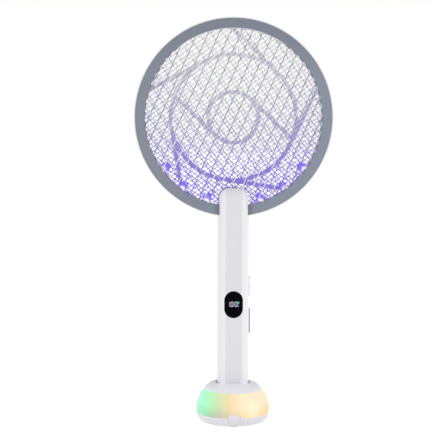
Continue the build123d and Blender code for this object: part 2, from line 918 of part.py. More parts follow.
def make_display_module():
    """Segment display between the window and the main board."""
    outline = display_outline(display_ledge + module_gap)
    front = -half_depth + display_thick + module_gap
    return front_prism(outline, front, -main_board_front, z=display_height)


def make_display_window():
    """Black glossy window that follows the handle's rounded front."""
    outline = display_outline(fit_gap)
    prism = front_prism(outline, -half_depth - 1, -half_depth + display_thick + 2, z=display_height)
    shell = handle_body - handle_form(display_thick, 0, handle_top - display_thick)
    return prism & shell


def make_slide_switch_body():
    """Housing of the slide switch, with a slot for the knob's lever."""
    body = block(
        mode_body_depth, mode_body_width, mode_body_length,
        x=side_board_right + mode_body_depth / 2, bottom=mode_height - mode_body_length / 2,
    )
    slot = Rectangle(
        mode_stem_width + 2 * slide_gap,
        mode_stem_length + 2 * (mode_travel + slide_gap),
    )
    right = side_board_right + mode_body_depth
    return body - side_prism(slot, right - mode_lever_depth - slide_gap, right + 1, z=mode_height)


def make_mode_switch_knob():
    """Ribbed knob that slides in the handle's side, with its lever in the switch."""
    left = half_width - mode_recess + fit_gap
    right = half_width + mode_proud
    knob = side_prism(Rectangle(mode_width, mode_length), left, right - mode_ridge, z=mode_height)
    shift = (mode_length - mode_ridge_length) / 2
    for z in (mode_height - shift, mode_height, mode_height + shift):
        knob += side_prism(Rectangle(mode_width, mode_ridge_length), left, right, z=z)
    lever_left = side_board_right + mode_body_depth - mode_lever_depth
    lever = Rectangle(mode_stem_width, mode_stem_length)
    return knob + side_prism(lever, lever_left, left, z=mode_height)


def make_push_button():
    """Long grey key with a flange inside the handle."""
    right = half_width + push_proud
    key = side_prism(oblong(push_width, push_length), push_flange_inner, right, z=push_height)
    key = chamfer(key.faces().sort_by(Axis.X)[-1].edges(), push_edge)
    flange_outline = oblong(
        push_width + 2 * push_flange_margin, push_length + 2 * push_flange_margin)
    return key + side_prism(flange_outline, push_flange_inner, push_flange_outer, z=push_height)


def make_push_tact_switch():
    """Switch under the push button, on the side board."""
    turned = Rot(0, 0, 90) * tact_body(tact_width)
    return Pos(push_tact_face, 0, push_height) * turned


def make_push_tact_plunger():
    """Switch plunger that the push button pushes."""
    left = push_tact_face - tact_bore_depth + button_travel + running_gap
    return side_bar(tact_plunger_radius, left, push_flange_inner, z=push_height, flats=small_flats)


def make_transformer_core():
    """Ferrite core: a window frame with a middle leg inside the winding."""
    middle = -main_board_back + winding_depth / 2
    core = block(core_width, core_depth, core_length, y=middle, bottom=core_bottom)
    window = (core_width - 3 * core_web) / 2
    for side in (-1, 1):
        x = side * (core_web + window) / 2
        core -= block(window, 2 * core_depth, core_length - 2 * core_web, x=x, y=middle,
                      bottom=core_bottom + core_web)
    return core


def make_transformer_winding():
    """Copper winding round the core's middle leg."""
    middle = -main_board_back + winding_depth / 2
    window = (core_width - 3 * core_web) / 2
    bottom = core_bottom + core_web + fit_gap
    height = core_length - 2 * core_web - 2 * fit_gap
    outer = RectangleRounded(core_web + 2 * (window - fit_gap), winding_depth, core_web)
    winding = extrude(Pos(0, middle, bottom) * outer, height)
    leg = block(core_web + 2 * fit_gap, core_depth + 2 * fit_gap, height, y=middle, bottom=bottom)
    return winding - leg


def make_storage_capacitor():
    """Film capacitor that holds the charge for the nets."""
    middle = -main_board_back + capacitor_depth / 2
    body = block(capacitor_width, capacitor_depth, capacitor_length, y=middle,
                 bottom=capacitor_bottom)
    return chamfer(body.edges().filter_by(Axis.Z), capacitor_chamfer)


def make_rectifier_diodes():
    """Row of moulded diodes on the back of the main board."""
    y = -main_board_back + diode_thick / 2
    heights = [diode_bottom + diode_pitch * number for number in range(diode_count)]
    return group([block(diode_length, diode_thick, diode_width, y=y, bottom=z) for z in heights])


def make_net_leads():
    """Three leads from the main board to the hoops of the nets."""
    hoops = (
        front_guard_front + guard_hoop / 2,
        spark_front + spark_hoop / 2,
        rear_guard_front + guard_hoop / 2,
    )
    board_y = -main_board_back + lead_radius
    leads = []
    for number, y in enumerate(hoops):
        x = (number - 1) * lead_spacing
        hoop_bottom = ring_height - math.sqrt(hoop_outer_radius ** 2 - x ** 2)
        path = Polyline(
            (x, board_y, lead_end),
            (x, board_y, cavity_top - lead_bend),
            (x, y, head_bottom + lead_bend),
            (x, y, hoop_bottom - fit_gap),
        )
        start = Plane(origin=path @ 0, z_dir=path % 0)
        section = disc(lead_radius, small_flats)
        leads.append(sweep(start * section, path, transition=Transition.RIGHT))
    return group(leads)


def make_handle_screws():
    """Screws from the back shell into the front shell's bosses."""
    one = screw(handle_screw_seat - handle_pilot_front - screw_end_gap, screw_head_height)
    facing_front = Rot(90, 0, 0) * one
    return group([Pos(x, handle_screw_seat, z) * facing_front for x, z in handle_screw_places])


def make_neck_screws():
    """Two screws that clamp the ring between the tongues."""
    one = screw(neck_screw_seat + neck_screw_grip, screw_head_height)
    facing_front = Rot(90, 0, 0) * one
    return group([Pos(x, neck_screw_seat, z) * facing_front for x, z in neck_screw_places])


# ------------------------------------------------------------------ head
def post_places():
    """Middles of the ring's screw posts in the front view."""
    places = []
    for number in range(post_count):
        x, z = on_circle(post_circle, number * 360 / post_count)
        places.append((x, ring_height + z))
    return places


pad_front = ring_back - frame_back - post_pad_height


def make_ring_front_bezel():
    """Grey-blue front ring with screw posts behind it."""
    front = -ring_front
    back = front + bezel_thick
    bezel = turned_about_head([
        (ring_inner_radius, back),
        (ring_inner_radius, front + bezel_edge),
        (ring_inner_radius + bezel_edge, front),
        (bezel_radius - bezel_edge, front),
        (bezel_radius, front + bezel_edge),
        (bezel_radius, back),
    ])
    for x, z in post_places():
        bezel += front_bar(post_radius, back, pad_front, x, z, small_flats)
        bezel -= front_bar(screw_radius + fit_gap, back, pad_front, x, z, small_flats)
    for x, z in neck_screw_places:
        bezel -= front_bar(post_radius + fit_gap, front, back, x, z, small_flats)
    return bezel


def make_ring_rear_frame():
    """White rear ring: outer wall round the bezel, back flange and screw pads."""
    frame = turned_about_head([
        (ring_inner_radius, frame_back_front),
        (frame_inner_wall, frame_back_front),
        (frame_inner_wall, -ring_front + frame_front_step),
        (frame_radius, -ring_front + frame_front_step),
        (frame_radius, ring_back),
        (ring_inner_radius, ring_back),
    ])
    for x, z in post_places():
        frame += front_bar(post_pad_radius, pad_front, frame_back_front, x, z, small_flats)
        frame -= front_bar(screw_radius + screw_gap, pad_front, ring_back, x, z, small_flats)
        frame -= front_bar(
            seat_radius, ring_back - screw_head_height, ring_back, x, z, seat_flats)
    for x, z in neck_screw_places:
        frame -= front_bar(post_radius + fit_gap, frame_back_front, ring_back, x, z, small_flats)
    lead_slot = block(lead_slot_width, 2 * (ring_front - bezel_thick), 4 * frame_wall,
                      bottom=head_bottom - frame_wall)
    return frame - lead_slot


def wires(angle, pitch, phase, depth, wire, reach):
    """Parallel wires of one layer, cut to the hoop."""
    direction = Vector(*on_circle(1, angle))
    along = Vector(direction.X, 0, direction.Y)
    across = Vector(-direction.Y, 0, direction.X)
    centre = Vector(0, depth, ring_height)
    steps = int(reach / pitch) + 1
    layer = []
    for number in range(-steps, steps + 1):
        offset = number * pitch + phase
        if abs(offset) < hoop_inner_radius - wire:
            half = math.sqrt(reach ** 2 - offset ** 2)
            start = centre + across * offset - along * half
            plane = Plane(origin=start, z_dir=along, x_dir=(0, 1, 0))
            layer.append((plane, 2 * half))
    return layer


def make_net(angles, phases, pitch, wire, front, thick):
    """Welded net: a thin hoop bent in short flats and two crossing layers of square wire."""
    hoop = RegularPolygon(hoop_outer_radius, hoop_flats)
    hoop -= RegularPolygon(hoop_inner_radius, hoop_flats)
    net = front_prism(hoop, front, front + thick, z=ring_height)
    reach = (hoop_inner_radius + hoop_outer_radius) / 2
    depth = front + hoop_margin + wire / 2
    strands = []
    for angle, phase in zip(angles, phases):
        for plane, length in wires(angle, pitch, phase, depth, wire, reach):
            strands.append(extrude(plane * Rectangle(wire, wire), length))
        depth += wire + weld_gap
    return net.fuse(*strands)


def make_front_guard_net():
    """Coarse guard net in front of the high-voltage net."""
    return make_net(
        guard_angles, front_guard_phases, guard_pitch, guard_wire, front_guard_front, guard_hoop)


def make_rear_guard_net():
    """Coarse guard net at the back."""
    return make_net(
        guard_angles, rear_guard_phases, guard_pitch, guard_wire, rear_guard_front, guard_hoop)


def make_high_voltage_net():
    """Fine net that carries the charge."""
    return make_net(
        spark_angles, spark_phases, spark_pitch, spark_wire, spark_front, spark_hoop)


def led_frame(angle, radius):
    """Plane on the head's lower half that faces its middle, angle from straight down."""
    turn = math.radians(angle)
    outward = Vector(math.sin(turn), 0, -math.cos(turn))
    origin = Vector(0, led_depth, ring_height) + outward * radius
    return Plane(origin=origin, x_dir=(0, 1, 0), z_dir=-outward)


def make_front_spacer_ring():
    """Clear ring between the front guard and the high-voltage net, with a hollow hood over each LED."""
    ring = head_band(ring_inner_radius, hoop_outer_radius, spacer_front, spark_front)
    root = (ring_inner_radius + hoop_outer_radius) / 2
    length = root - ring_inner_radius + hood_reach
    outline = Rectangle(hood_thick, hood_width)
    outline = chamfer(outline.vertices(), hood_corner)
    for angle in led_angles:
        place = led_frame(angle, root)
        hood = extrude(place * outline, length, taper=hood_taper)
        tip = hood.faces().sort_by(Axis(place.origin, place.z_dir))[-1]
        ring += chamfer(tip.edges(), hood_nose)
    for angle in led_angles:
        bore = led_frame(angle, led_base) * disc(led_radius + fit_gap, led_flats)
        ring -= extrude(bore, led_length + led_end_gap)
    return ring


def tangent_arms(count, first_angle, start_radius, end_radius, turn_sign):
    """Straight ribs that leave a circle at a tangent, trimmed to a larger radius."""
    length = math.sqrt((end_radius + rib_width) ** 2 - start_radius ** 2)
    plate = Pos(start_radius, turn_sign * length / 2) * Rectangle(rib_width, length)
    arms = [Rot(0, 0, first_angle + number * 360 / count) * plate for number in range(count)]
    return Sketch() + arms & Circle(end_radius)


def rib_circle(radius):
    """Round rib on a circle."""
    return Circle(radius + rib_width / 2) - Circle(radius - rib_width / 2)


def make_rib_frame():
    """Swirl of ribs behind the high-voltage net, in one piece with the rear spacer ring."""
    seat = (ring_inner_radius + hoop_outer_radius) / 2
    swirl = rib_circle(rib_inner_circle) + rib_circle(rib_middle_circle)
    swirl += tangent_arms(
        rib_inner_arms, rib_inner_start, rib_inner_circle, rib_middle_circle, -1)
    swirl += tangent_arms(
        rib_outer_arms, rib_outer_start, rib_middle_circle, seat, 1)
    front = rib_ring_front + rib_set_back
    ribs = front_prism(swirl, front, front + rib_thick, z=ring_height)
    return ribs + head_band(ring_inner_radius, hoop_outer_radius, rib_ring_front, rear_guard_front)


def make_uv_led_strip():
    """Curved strip board behind the lower LEDs."""
    inner = led_base + fit_gap
    half = led_strip_width / 2
    outline = [
        (inner, led_depth - half),
        (inner + led_strip_thick, led_depth - half),
        (inner + led_strip_thick, led_depth + half),
        (inner, led_depth + half),
    ]
    half_angle = led_angles[-1] + led_strip_margin
    return turned_about_head(outline, 90 - half_angle, 2 * half_angle)


def make_uv_leds():
    """Round-nosed LEDs that point at the middle of the head."""
    leds = []
    for angle in led_angles:
        place = led_frame(angle, led_base)
        body = extrude(place * disc(led_radius, led_flats), led_length)
        tip = body.faces().sort_by(Axis(place.origin, place.z_dir))[-1]
        flange = extrude(place * disc(led_radius + led_flange, led_flats), led_flange_thick)
        leds.append(chamfer(tip.edges(), led_nose) + flange)
    return group(leds)


def make_ring_screws():
    """Screws through the back flange into the bezel's posts."""
    seat = ring_back - screw_head_height
    one = screw(seat + ring_front - 2 * bezel_thick, screw_head_height - fit_gap)
    facing_front = Rot(90, 0, 0) * one
    return group([Pos(x, seat, z) * facing_front for x, z in post_places()])


# ------------------------------------------------------------------ all nodes
nodes = {
    "dock_base_shell": make_dock_base_shell,
    "dock_feet": make_dock_feet,
    "dock_weights": make_dock_weights,
    "dock_control_board": make_dock_control_board,
    "charge_inlet": make_charge_inlet,
    "dock_tact_switch": make_dock_tact_switch,
    "charge_pin_sleeves": make_charge_pin_sleeves,
    "charge_pin_left": lambda: make_charge_pin(pin_places[0]),
    "charge_pin_right": lambda: make_charge_pin(pin_places[1]),
    "light_ring_board": make_light_ring_board,
    "light_ring_leds": make_light_ring_leds,
    "lamp_diffuser": make_lamp_diffuser,
    "dock_top_cover": make_dock_top_cover,
    "dock_screws": make_dock_screws,
    "dock_button": make_dock_button,
    "dock_tact_plunger": make_dock_tact_plunger,
    "handle_front_shell": make_handle_front_shell,
    "handle_rear_shell": make_handle_rear_shell,
    "handle_end_cap": make_handle_end_cap,
    "charging_contacts": make_charging_contacts,
    "charge_board": make_charge_board,
    "battery_cell": make_battery_cell,
    "battery_holder": make_battery_holder,
    "battery_clips": make_battery_clips,
    "main_board": make_main_board,
    "switch_board": make_switch_board,
    "display_module": make_display_module,
    "display_window": make_display_window,
    "slide_switch_body": make_slide_switch_body,
    "mode_switch_knob": make_mode_switch_knob,
    "push_button": make_push_button,
    "push_tact_switch": make_push_tact_switch,
    "push_tact_plunger": make_push_tact_plunger,
    "transformer_core": make_transformer_core,
    "transformer_winding": make_transformer_winding,
    "storage_capacitor": make_storage_capacitor,
    "rectifier_diodes": make_rectifier_diodes,
    "net_leads": make_net_leads,
    "handle_screws": make_handle_screws,
    "neck_screws": make_neck_screws,
    "ring_front_bezel": make_ring_front_bezel,
    "ring_rear_frame": make_ring_rear_frame,
    "front_guard_net": make_front_guard_net,
    "high_voltage_net": make_high_voltage_net,
    "rear_guard_net": make_rear_guard_net,
    "front_spacer_ring": make_front_spacer_ring,
    "rib_frame": make_rib_frame,
    "uv_led_strip": make_uv_led_strip,
    "uv_leds": make_uv_leds,
    "ring_screws": make_ring_screws,
}

os.makedirs("parts", exist_ok=True)
for name, make in nodes.items():
    export_step(make(), f"parts/{name}.step")
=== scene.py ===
"""Looks of an electric fly swatter that stands in its round charging dock.

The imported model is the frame: each piece made here is placed from its nodes' boxes, in metres, with
X to the right, Y to the back and Z up.  Sizes in the classes are in millimetres and angles in
degrees, unless a class says otherwise.
"""

import logging
import math
from dataclasses import dataclass, field
from enum import Enum

import bpy
import numpy as np
from mathutils import Euler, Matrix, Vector


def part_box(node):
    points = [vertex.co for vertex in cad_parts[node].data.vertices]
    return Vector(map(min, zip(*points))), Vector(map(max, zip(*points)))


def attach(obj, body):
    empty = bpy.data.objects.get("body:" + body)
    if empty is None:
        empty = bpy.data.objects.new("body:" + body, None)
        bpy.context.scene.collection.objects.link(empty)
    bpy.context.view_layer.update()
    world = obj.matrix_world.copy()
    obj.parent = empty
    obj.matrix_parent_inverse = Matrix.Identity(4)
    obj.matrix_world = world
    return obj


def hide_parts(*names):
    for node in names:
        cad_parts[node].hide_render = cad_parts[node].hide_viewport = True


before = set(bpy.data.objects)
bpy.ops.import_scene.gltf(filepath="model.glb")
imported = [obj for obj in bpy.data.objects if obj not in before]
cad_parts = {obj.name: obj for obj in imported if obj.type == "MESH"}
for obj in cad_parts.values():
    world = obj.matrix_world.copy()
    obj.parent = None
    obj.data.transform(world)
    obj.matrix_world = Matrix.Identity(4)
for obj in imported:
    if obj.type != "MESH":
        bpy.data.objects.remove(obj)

log = logging.getLogger("fly_swatter")

MM = 0.001
WHITE = (1.0, 1.0, 1.0, 1.0)
VIOLET = "violet"    # attribute: share of the lamps' light that reaches a vertex
PAINTED_LIGHT = "tone"        # attribute: painted light on the wires, from 0, painted shade, to 1, painted highlight
CORE = "core"        # attribute: from 0, edge of a glow, to 1, its hot middle
NOISE_MIDDLE = (0.3, 0.7)


# ---------------------------------------------------------------------------- colours and nodes
@dataclass(frozen=True)
class Colour:
    """Colour as display values from 0 to 255."""

    red: float
    green: float
    blue: float

    def linear(self) -> tuple[float, float, float, float]:
        """Linear colour with full alpha, as Blender's sockets take it."""
        return (*(self._channel(value / 255) for value in (self.red, self.green, self.blue)), 1.0)

    @staticmethod
    def _channel(value: float) -> float:
        """One display value from 0 to 1 made linear."""
        return value / 12.92 if value <= 0.04045 else ((value + 0.055) / 1.055) ** 2.4


class NodeTree:
    """Tree of nodes, with short calls for those that the finishes and the studio share."""

    def __init__(self, tree: bpy.types.NodeTree) -> None:
        """Empties the tree that the nodes go into."""
        self.tree = tree
        self.tree.nodes.clear()

    def add(self, kind: str, **settings: object) -> bpy.types.Node:
        """Adds a node.

        Args:
            kind: the node's type.
            settings: its properties by name.

        Returns:
            The new node.
        """
        node = self.tree.nodes.new(kind)
        for name, value in settings.items():
            setattr(node, name, value)
        return node

    def join(self, source: bpy.types.NodeSocket, target: bpy.types.NodeSocket) -> None:
        """Links an output to an input."""
        self.tree.links.new(source, target)

    def feed(self, socket: bpy.types.NodeSocket, value: object) -> None:
        """Gives an input a link or a plain value, whichever the value is.

        Args:
            socket: the input.
            value: an output, a Colour, a number or a tuple.
        """
        if isinstance(value, bpy.types.NodeSocket):
            self.join(value, socket)
        else:
            socket.default_value = value.linear() if isinstance(value, Colour) else value

    def place(self, kind: str = "Object") -> bpy.types.NodeSocket:
        """Point of the surface in the object's own coordinates, or in those of another kind."""
        return self.add("ShaderNodeTexCoord").outputs[kind]

    def coordinate(self, axis: str, kind: str = "Object") -> bpy.types.NodeSocket:
        """One coordinate of the surface point.

        Args:
            axis: X, Y or Z.
            kind: of coordinates.

        Returns:
            The coordinate, in metres.
        """
        split = self.add("ShaderNodeSeparateXYZ")
        self.join(self.place(kind), split.inputs[0])
        return split.outputs[axis]

    def calculate(self, operation: str, first: object, second: object = 0.0) -> bpy.types.NodeSocket:
        """Works out a value from one or two others.

        Args:
            operation: the Math node's operation.
            first: an output or a number.
            second: an output or a number.

        Returns:
            The result.
        """
        node = self.add("ShaderNodeMath", operation=operation)
        self.feed(node.inputs[0], first)
        self.feed(node.inputs[1], second)
        return node.outputs[0]

    def span(self, value: object, start: float, end: float, low: float = 0.0,
             high: float = 1.0, smooth: bool = False) -> bpy.types.NodeSocket:
        """Maps a value from one span to another and clamps it.

        Args:
            value: what is mapped.
            start: value that gives low.
            end: value that gives high.
            low: first result.
            high: last result.
            smooth: eases both ends.

        Returns:
            The mapped value.
        """
        node = self.add("ShaderNodeMapRange", interpolation_type="SMOOTHSTEP" if smooth else "LINEAR")
        self.feed(node.inputs["Value"], value)
        for name, number in (("From Min", start), ("From Max", end), ("To Min", low), ("To Max", high)):
            node.inputs[name].default_value = number
        return node.outputs["Result"]


class NodeSheet(NodeTree):
    """Node tree of one material, which ends in a Principled shader."""

    def __init__(self, name: str) -> None:
        """Starts a material with its shader and output.

        Args:
            name: the material's name.
        """
        self.material = bpy.data.materials.new(name)
        self.material.use_nodes = True
        super().__init__(self.material.node_tree)
        self.shader = self.add("ShaderNodeBsdfPrincipled")
        output = self.add("ShaderNodeOutputMaterial")
        self.join(self.shader.outputs["BSDF"], output.inputs["Surface"])

    def noise(self, size: float, detail: float = 2.0,
              stretch: tuple = (1, 1, 1)) -> bpy.types.NodeSocket:
        """Noise from 0 to 1.

        Args:
            size: width of its blotches in millimetres.
            detail: octaves.
            stretch: factors on the coordinates, for streaks.

        Returns:
            The noise's value.
        """
        mapping = self.add("ShaderNodeMapping")
        self.join(self.place(), mapping.inputs["Vector"])
        mapping.inputs["Scale"].default_value = stretch
        texture = self.add("ShaderNodeTexNoise")
        self.join(mapping.outputs["Vector"], texture.inputs["Vector"])
        texture.inputs["Scale"].default_value = 1 / (size * MM)
        texture.inputs["Detail"].default_value = detail
        return texture.outputs["Fac"]

    def spread(self, noise: bpy.types.NodeSocket, low: float = 0.0,
               high: float = 1.0) -> bpy.types.NodeSocket:
        """Spreads the middle of a noise's range, where most of it lies, from low to high.

        Args:
            noise: the noise's value.
            low: result for its low spots.
            high: result for its high spots.

        Returns:
            The spread value.
        """
        return self.span(noise, *NOISE_MIDDLE, low, high)

    def nearness(self, centre: tuple, reach: float) -> bpy.types.NodeSocket:
        """Glow round a point: 1 at the point, easing to 0 at the reach.

        Args:
            centre: the point in millimetres.
            reach: in millimetres.

        Returns:
            The glow's value.
        """
        node = self.add("ShaderNodeVectorMath", operation="DISTANCE")
        self.join(self.place(), node.inputs[0])
        node.inputs[1].default_value = tuple(value * MM for value in centre)
        return self.span(node.outputs["Value"], reach * MM, 0.0, smooth=True)

    def edge(self, value: bpy.types.NodeSocket, place: float, blur: float) -> bpy.types.NodeSocket:
        """Step from 1 to 0 as a length passes a place.

        Args:
            value: the length, in metres.
            place: of the step's middle, in millimetres.
            blur: half the step's width.

        Returns:
            The step's value.
        """
        return self.span(value, (place + blur) * MM, (place - blur) * MM)

    def mix(self, share: object, first: object, second: object) -> bpy.types.NodeSocket:
        """Mixes two colours.

        Args:
            share: from 0, all first, to 1, all second.
            first: a Colour or a colour output.
            second: a Colour or a colour output.

        Returns:
            The mixed colour.
        """
        node = self.add("ShaderNodeMix", data_type="RGBA")
        self.feed(node.inputs[0], share)
        self.feed(node.inputs[6], first)
        self.feed(node.inputs[7], second)
        return node.outputs[2]

    def ramp(self, value: bpy.types.NodeSocket, stops: tuple) -> bpy.types.NodeSocket:
        """Colour that runs through several stops.

        Args:
            value: a length in metres.
            stops: (place in millimetres, Colour) pairs in rising order.

        Returns:
            The colour at the value.
        """
        node = self.add("ShaderNodeValToRGB")
        first, last = stops[0][0], stops[-1][0]
        self.join(self.span(value, first * MM, last * MM), node.inputs[0])
        elements = node.color_ramp.elements
        elements[0].color, elements[1].color = stops[0][1].linear(), stops[-1][1].linear()
        for place, colour in stops[1:-1]:
            elements.new((place - first) / (last - first)).color = colour.linear()
        return node.outputs[0]

    def attribute(self, name: str) -> bpy.types.NodeSocket:
        """Value that a piece's mesh holds at each vertex."""
        return self.add("ShaderNodeAttribute", attribute_name=name).outputs["Fac"]

    def bump(self, height: bpy.types.NodeSocket, depth: float) -> None:
        """Gives the shader a relief.

        Args:
            height: relief from 0 to 1.
            depth: its depth in millimetres.
        """
        node = self.add("ShaderNodeBump")
        node.inputs["Distance"].default_value = depth * MM
        self.join(height, node.inputs["Height"])
        self.join(node.outputs["Normal"], self.shader.inputs["Normal"])

    def given(self, name: str) -> bpy.types.NodeSocket:
        """Output that feeds the shader's input of that name."""
        return self.shader.inputs[name].links[0].from_socket

    def set(self, **values: object) -> None:
        """Sets the shader's inputs, with underscores for spaces in their names."""
        for name, value in values.items():
            self.feed(self.shader.inputs[name.replace("_", " ")], value)


# ---------------------------------------------------------------------------- finishes
@dataclass(frozen=True)
class MouldedPlastic:
    """Injection-moulded plastic with a fine spark-eroded grain and faint flow marks."""

    name: str
    colour: Colour
    tone: Colour
    roughness: float = 0.4
    grain: float = 0.35
    grain_depth: float = 0.006
    specular: float = 0.5
    flow: float = 28.0
    flow_stretch: tuple = (1, 1, 0.35)
    rub: float = 6.0

    def sheet(self) -> NodeSheet:
        """Lays out mottled colour, uneven roughness and grain.

        Returns:
            The node sheet, which a finish of this kind can add to.
        """
        sheet = NodeSheet(self.name)
        flow = sheet.noise(self.flow, 3.0, self.flow_stretch)
        rub = sheet.noise(self.rub, 4.0)
        sheet.set(
            Base_Color=sheet.mix(sheet.span(flow, 0.35, 0.75), self.colour, self.tone),
            Roughness=sheet.spread(rub, self.roughness - 0.04, self.roughness + 0.05),
            Specular_IOR_Level=self.specular,
        )
        sheet.bump(sheet.noise(self.grain), self.grain_depth)
        return sheet

    def material(self) -> bpy.types.Material:
        """Plain material of this plastic."""
        return self.sheet().material


@dataclass(frozen=True)
class BezelPaint(MouldedPlastic):
    """Satin paint of the ring, with painted light, a little cooler, on its right, painted shade at its
    top and a painted shadow beside the handle.
    """

    lit_right_colour: Colour = Colour(134, 142, 157)
    shaded_top_colour: Colour = Colour(122, 129, 142)
    handle_shadow_colour: Colour = Colour(114, 117, 127)
    handle_shadow_edge: float = 21.4
    handle_shadow_top: float = 300.0
    lit_right_end: float = 90.0
    lit_right_share: float = 0.9
    shaded_top_start: float = 395.0
    shaded_top_end: float = 452.0
    blur: float = 0.3

    def material(self) -> bpy.types.Material:
        """Paints light and shade on the plastic by place.

        Returns:
            The material.
        """
        sheet = self.sheet()
        across = sheet.coordinate("X")
        height = sheet.coordinate("Z")
        # painted light on the right side
        right = sheet.span(across, 0.0, self.lit_right_end * MM, 0.0, self.lit_right_share)
        lit_right_mix = sheet.mix(right, sheet.given("Base Color"), self.lit_right_colour)
        # painted shade at the top
        high = sheet.span(height, self.shaded_top_start * MM, self.shaded_top_end * MM, smooth=True)
        deep = sheet.mix(high, lit_right_mix, self.shaded_top_colour)
        # painted shadow of the handle, in a strip each side of it below a set height
        aside = sheet.calculate("ABSOLUTE", across)
        near = sheet.edge(aside, self.handle_shadow_edge, self.blur)
        low = sheet.span(height, self.handle_shadow_top * MM, (self.handle_shadow_top - 1) * MM)
        strip = sheet.calculate("MULTIPLY", near, low)
        sheet.set(Base_Color=sheet.mix(strip, deep, self.handle_shadow_colour))
        return sheet.material


@dataclass(frozen=True)
class HandlePlastic(MouldedPlastic):
    """White plastic of the handle, with painted light on its rounded sides and at its foot and painted
    shade at its far left side.
    """

    lit_side_colour: Colour = Colour(237, 237, 241)
    left_shade_colour: Colour = Colour(224, 224, 228)
    side_start: float = 7.8
    side_end: float = 11.0
    left_shade_end: float = 17.5
    lit_foot_start: float = 50.0
    lit_foot_end: float = 30.0
    lit_foot_share: float = 0.55

    def material(self) -> bpy.types.Material:
        """Paints light on the plastic at the sides and low down, and shade at the far left.

        Returns:
            The material.
        """
        sheet = self.sheet()
        across = sheet.coordinate("X")
        aside = sheet.calculate("ABSOLUTE", across)
        # painted highlight on the rounded sides
        side = sheet.span(aside, self.side_start * MM, self.side_end * MM, smooth=True)
        # painted light low down, where the dock shades the handle
        foot = sheet.span(sheet.coordinate("Z"), self.lit_foot_start * MM, self.lit_foot_end * MM,
                          0.0, self.lit_foot_share, smooth=True)
        share = sheet.calculate("MAXIMUM", side, foot)
        bright = sheet.mix(share, sheet.given("Base Color"), self.lit_side_colour)
        # painted shade at the far left side
        outer = sheet.span(across, -self.side_end * MM, -self.left_shade_end * MM)
        sheet.set(Base_Color=sheet.mix(outer, bright, self.left_shade_colour))
        return sheet.material


@dataclass(frozen=True)
class DrawnMetal:
    """Rolled or drawn metal with fine lines along one axis."""

    name: str
    colour: Colour
    tone: Colour
    roughness: float = 0.3
    lines: tuple = (1, 12, 12)
    line: float = 2.0
    patch: float = 7.0
    relief: float = 0.01

    def material(self) -> bpy.types.Material:
        """Makes bright metal with drawn lines and duller patches.

        Returns:
            The material.
        """
        sheet = NodeSheet(self.name)
        line = sheet.noise(self.line, 3.0, self.lines)
        patch = sheet.noise(self.patch)
        sheet.set(
            Base_Color=sheet.mix(sheet.span(patch, 0.3, 0.8), self.colour, self.tone),
            Metallic=1.0,
            Roughness=sheet.spread(line, self.roughness - 0.08, self.roughness + 0.1),
        )
        sheet.bump(line, self.relief)
        return sheet.material


@dataclass(frozen=True)
class LitWire:
    """Galvanised wire with painted highlight and painted shade, that takes on the violet of the lamps
    near it as painted light and glow.
    """

    name: str
    # bright and the next colour: painted highlight and painted shade of the zinc, mixed by the tone
    # attribute
    bright: Colour
    shaded_zinc: Colour
    violet: Colour
    glow: float
    metallic: float = 0.25
    roughness: float = 0.4
    spangle: float = 1.6
    wear: float = 0.12
    violet_full: float = 0.8    # light at which the violet covers the zinc
    relief: float = 0.02

    def material(self) -> bpy.types.Material:
        """Mixes spangled zinc, painted lit and shaded by the tone attribute, with a violet glow.

        Returns:
            The material.
        """
        sheet = NodeSheet(self.name)
        light = sheet.attribute(VIOLET)
        tone = sheet.attribute(PAINTED_LIGHT)
        spangle = sheet.noise(self.spangle, 3.0)
        # the tone attribute paints light and shade on the zinc; the spangle noise adds random wear
        lit_and_worn = sheet.calculate("ADD", tone, sheet.spread(spangle, -self.wear, self.wear))
        zinc = sheet.mix(sheet.span(lit_and_worn, 0.0, 1.0), self.shaded_zinc, self.bright)
        sheet.set(
            Base_Color=sheet.mix(sheet.span(light, 0.0, self.violet_full), zinc, self.violet),
            Metallic=self.metallic,
            Roughness=sheet.span(spangle, 0.2, 0.8, self.roughness - 0.1, self.roughness + 0.12),
            Emission_Color=self.violet,
            Emission_Strength=sheet.calculate("MULTIPLY", light, self.glow),
        )
        sheet.bump(spangle, self.relief)
        return sheet.material


@dataclass(frozen=True)
class LitPlastic:
    """Pale translucent plastic that takes on the violet of the lamps near it."""

    name: str
    colour: Colour
    tone: Colour
    violet: Colour
    glow: float
    flow: float = 9.0
    violet_full: float = 0.8    # light at which the violet covers the plastic
    grain: float = 0.4
    grain_depth: float = 0.01

    def material(self) -> bpy.types.Material:
        """Mixes moulded plastic with a violet glow.

        Returns:
            The material.
        """
        sheet = NodeSheet(self.name)
        light = sheet.attribute(VIOLET)
        flow = sheet.noise(self.flow, 3.0)
        plain = sheet.mix(sheet.spread(flow), self.colour, self.tone)
        sheet.set(
            Base_Color=sheet.mix(sheet.span(light, 0.0, self.violet_full), plain, self.violet),
            Roughness=sheet.spread(flow, 0.42, 0.55),
            Emission_Color=self.violet,
            Emission_Strength=sheet.calculate("MULTIPLY", light, self.glow),
        )
        sheet.bump(sheet.noise(self.grain), self.grain_depth)
        return sheet.material


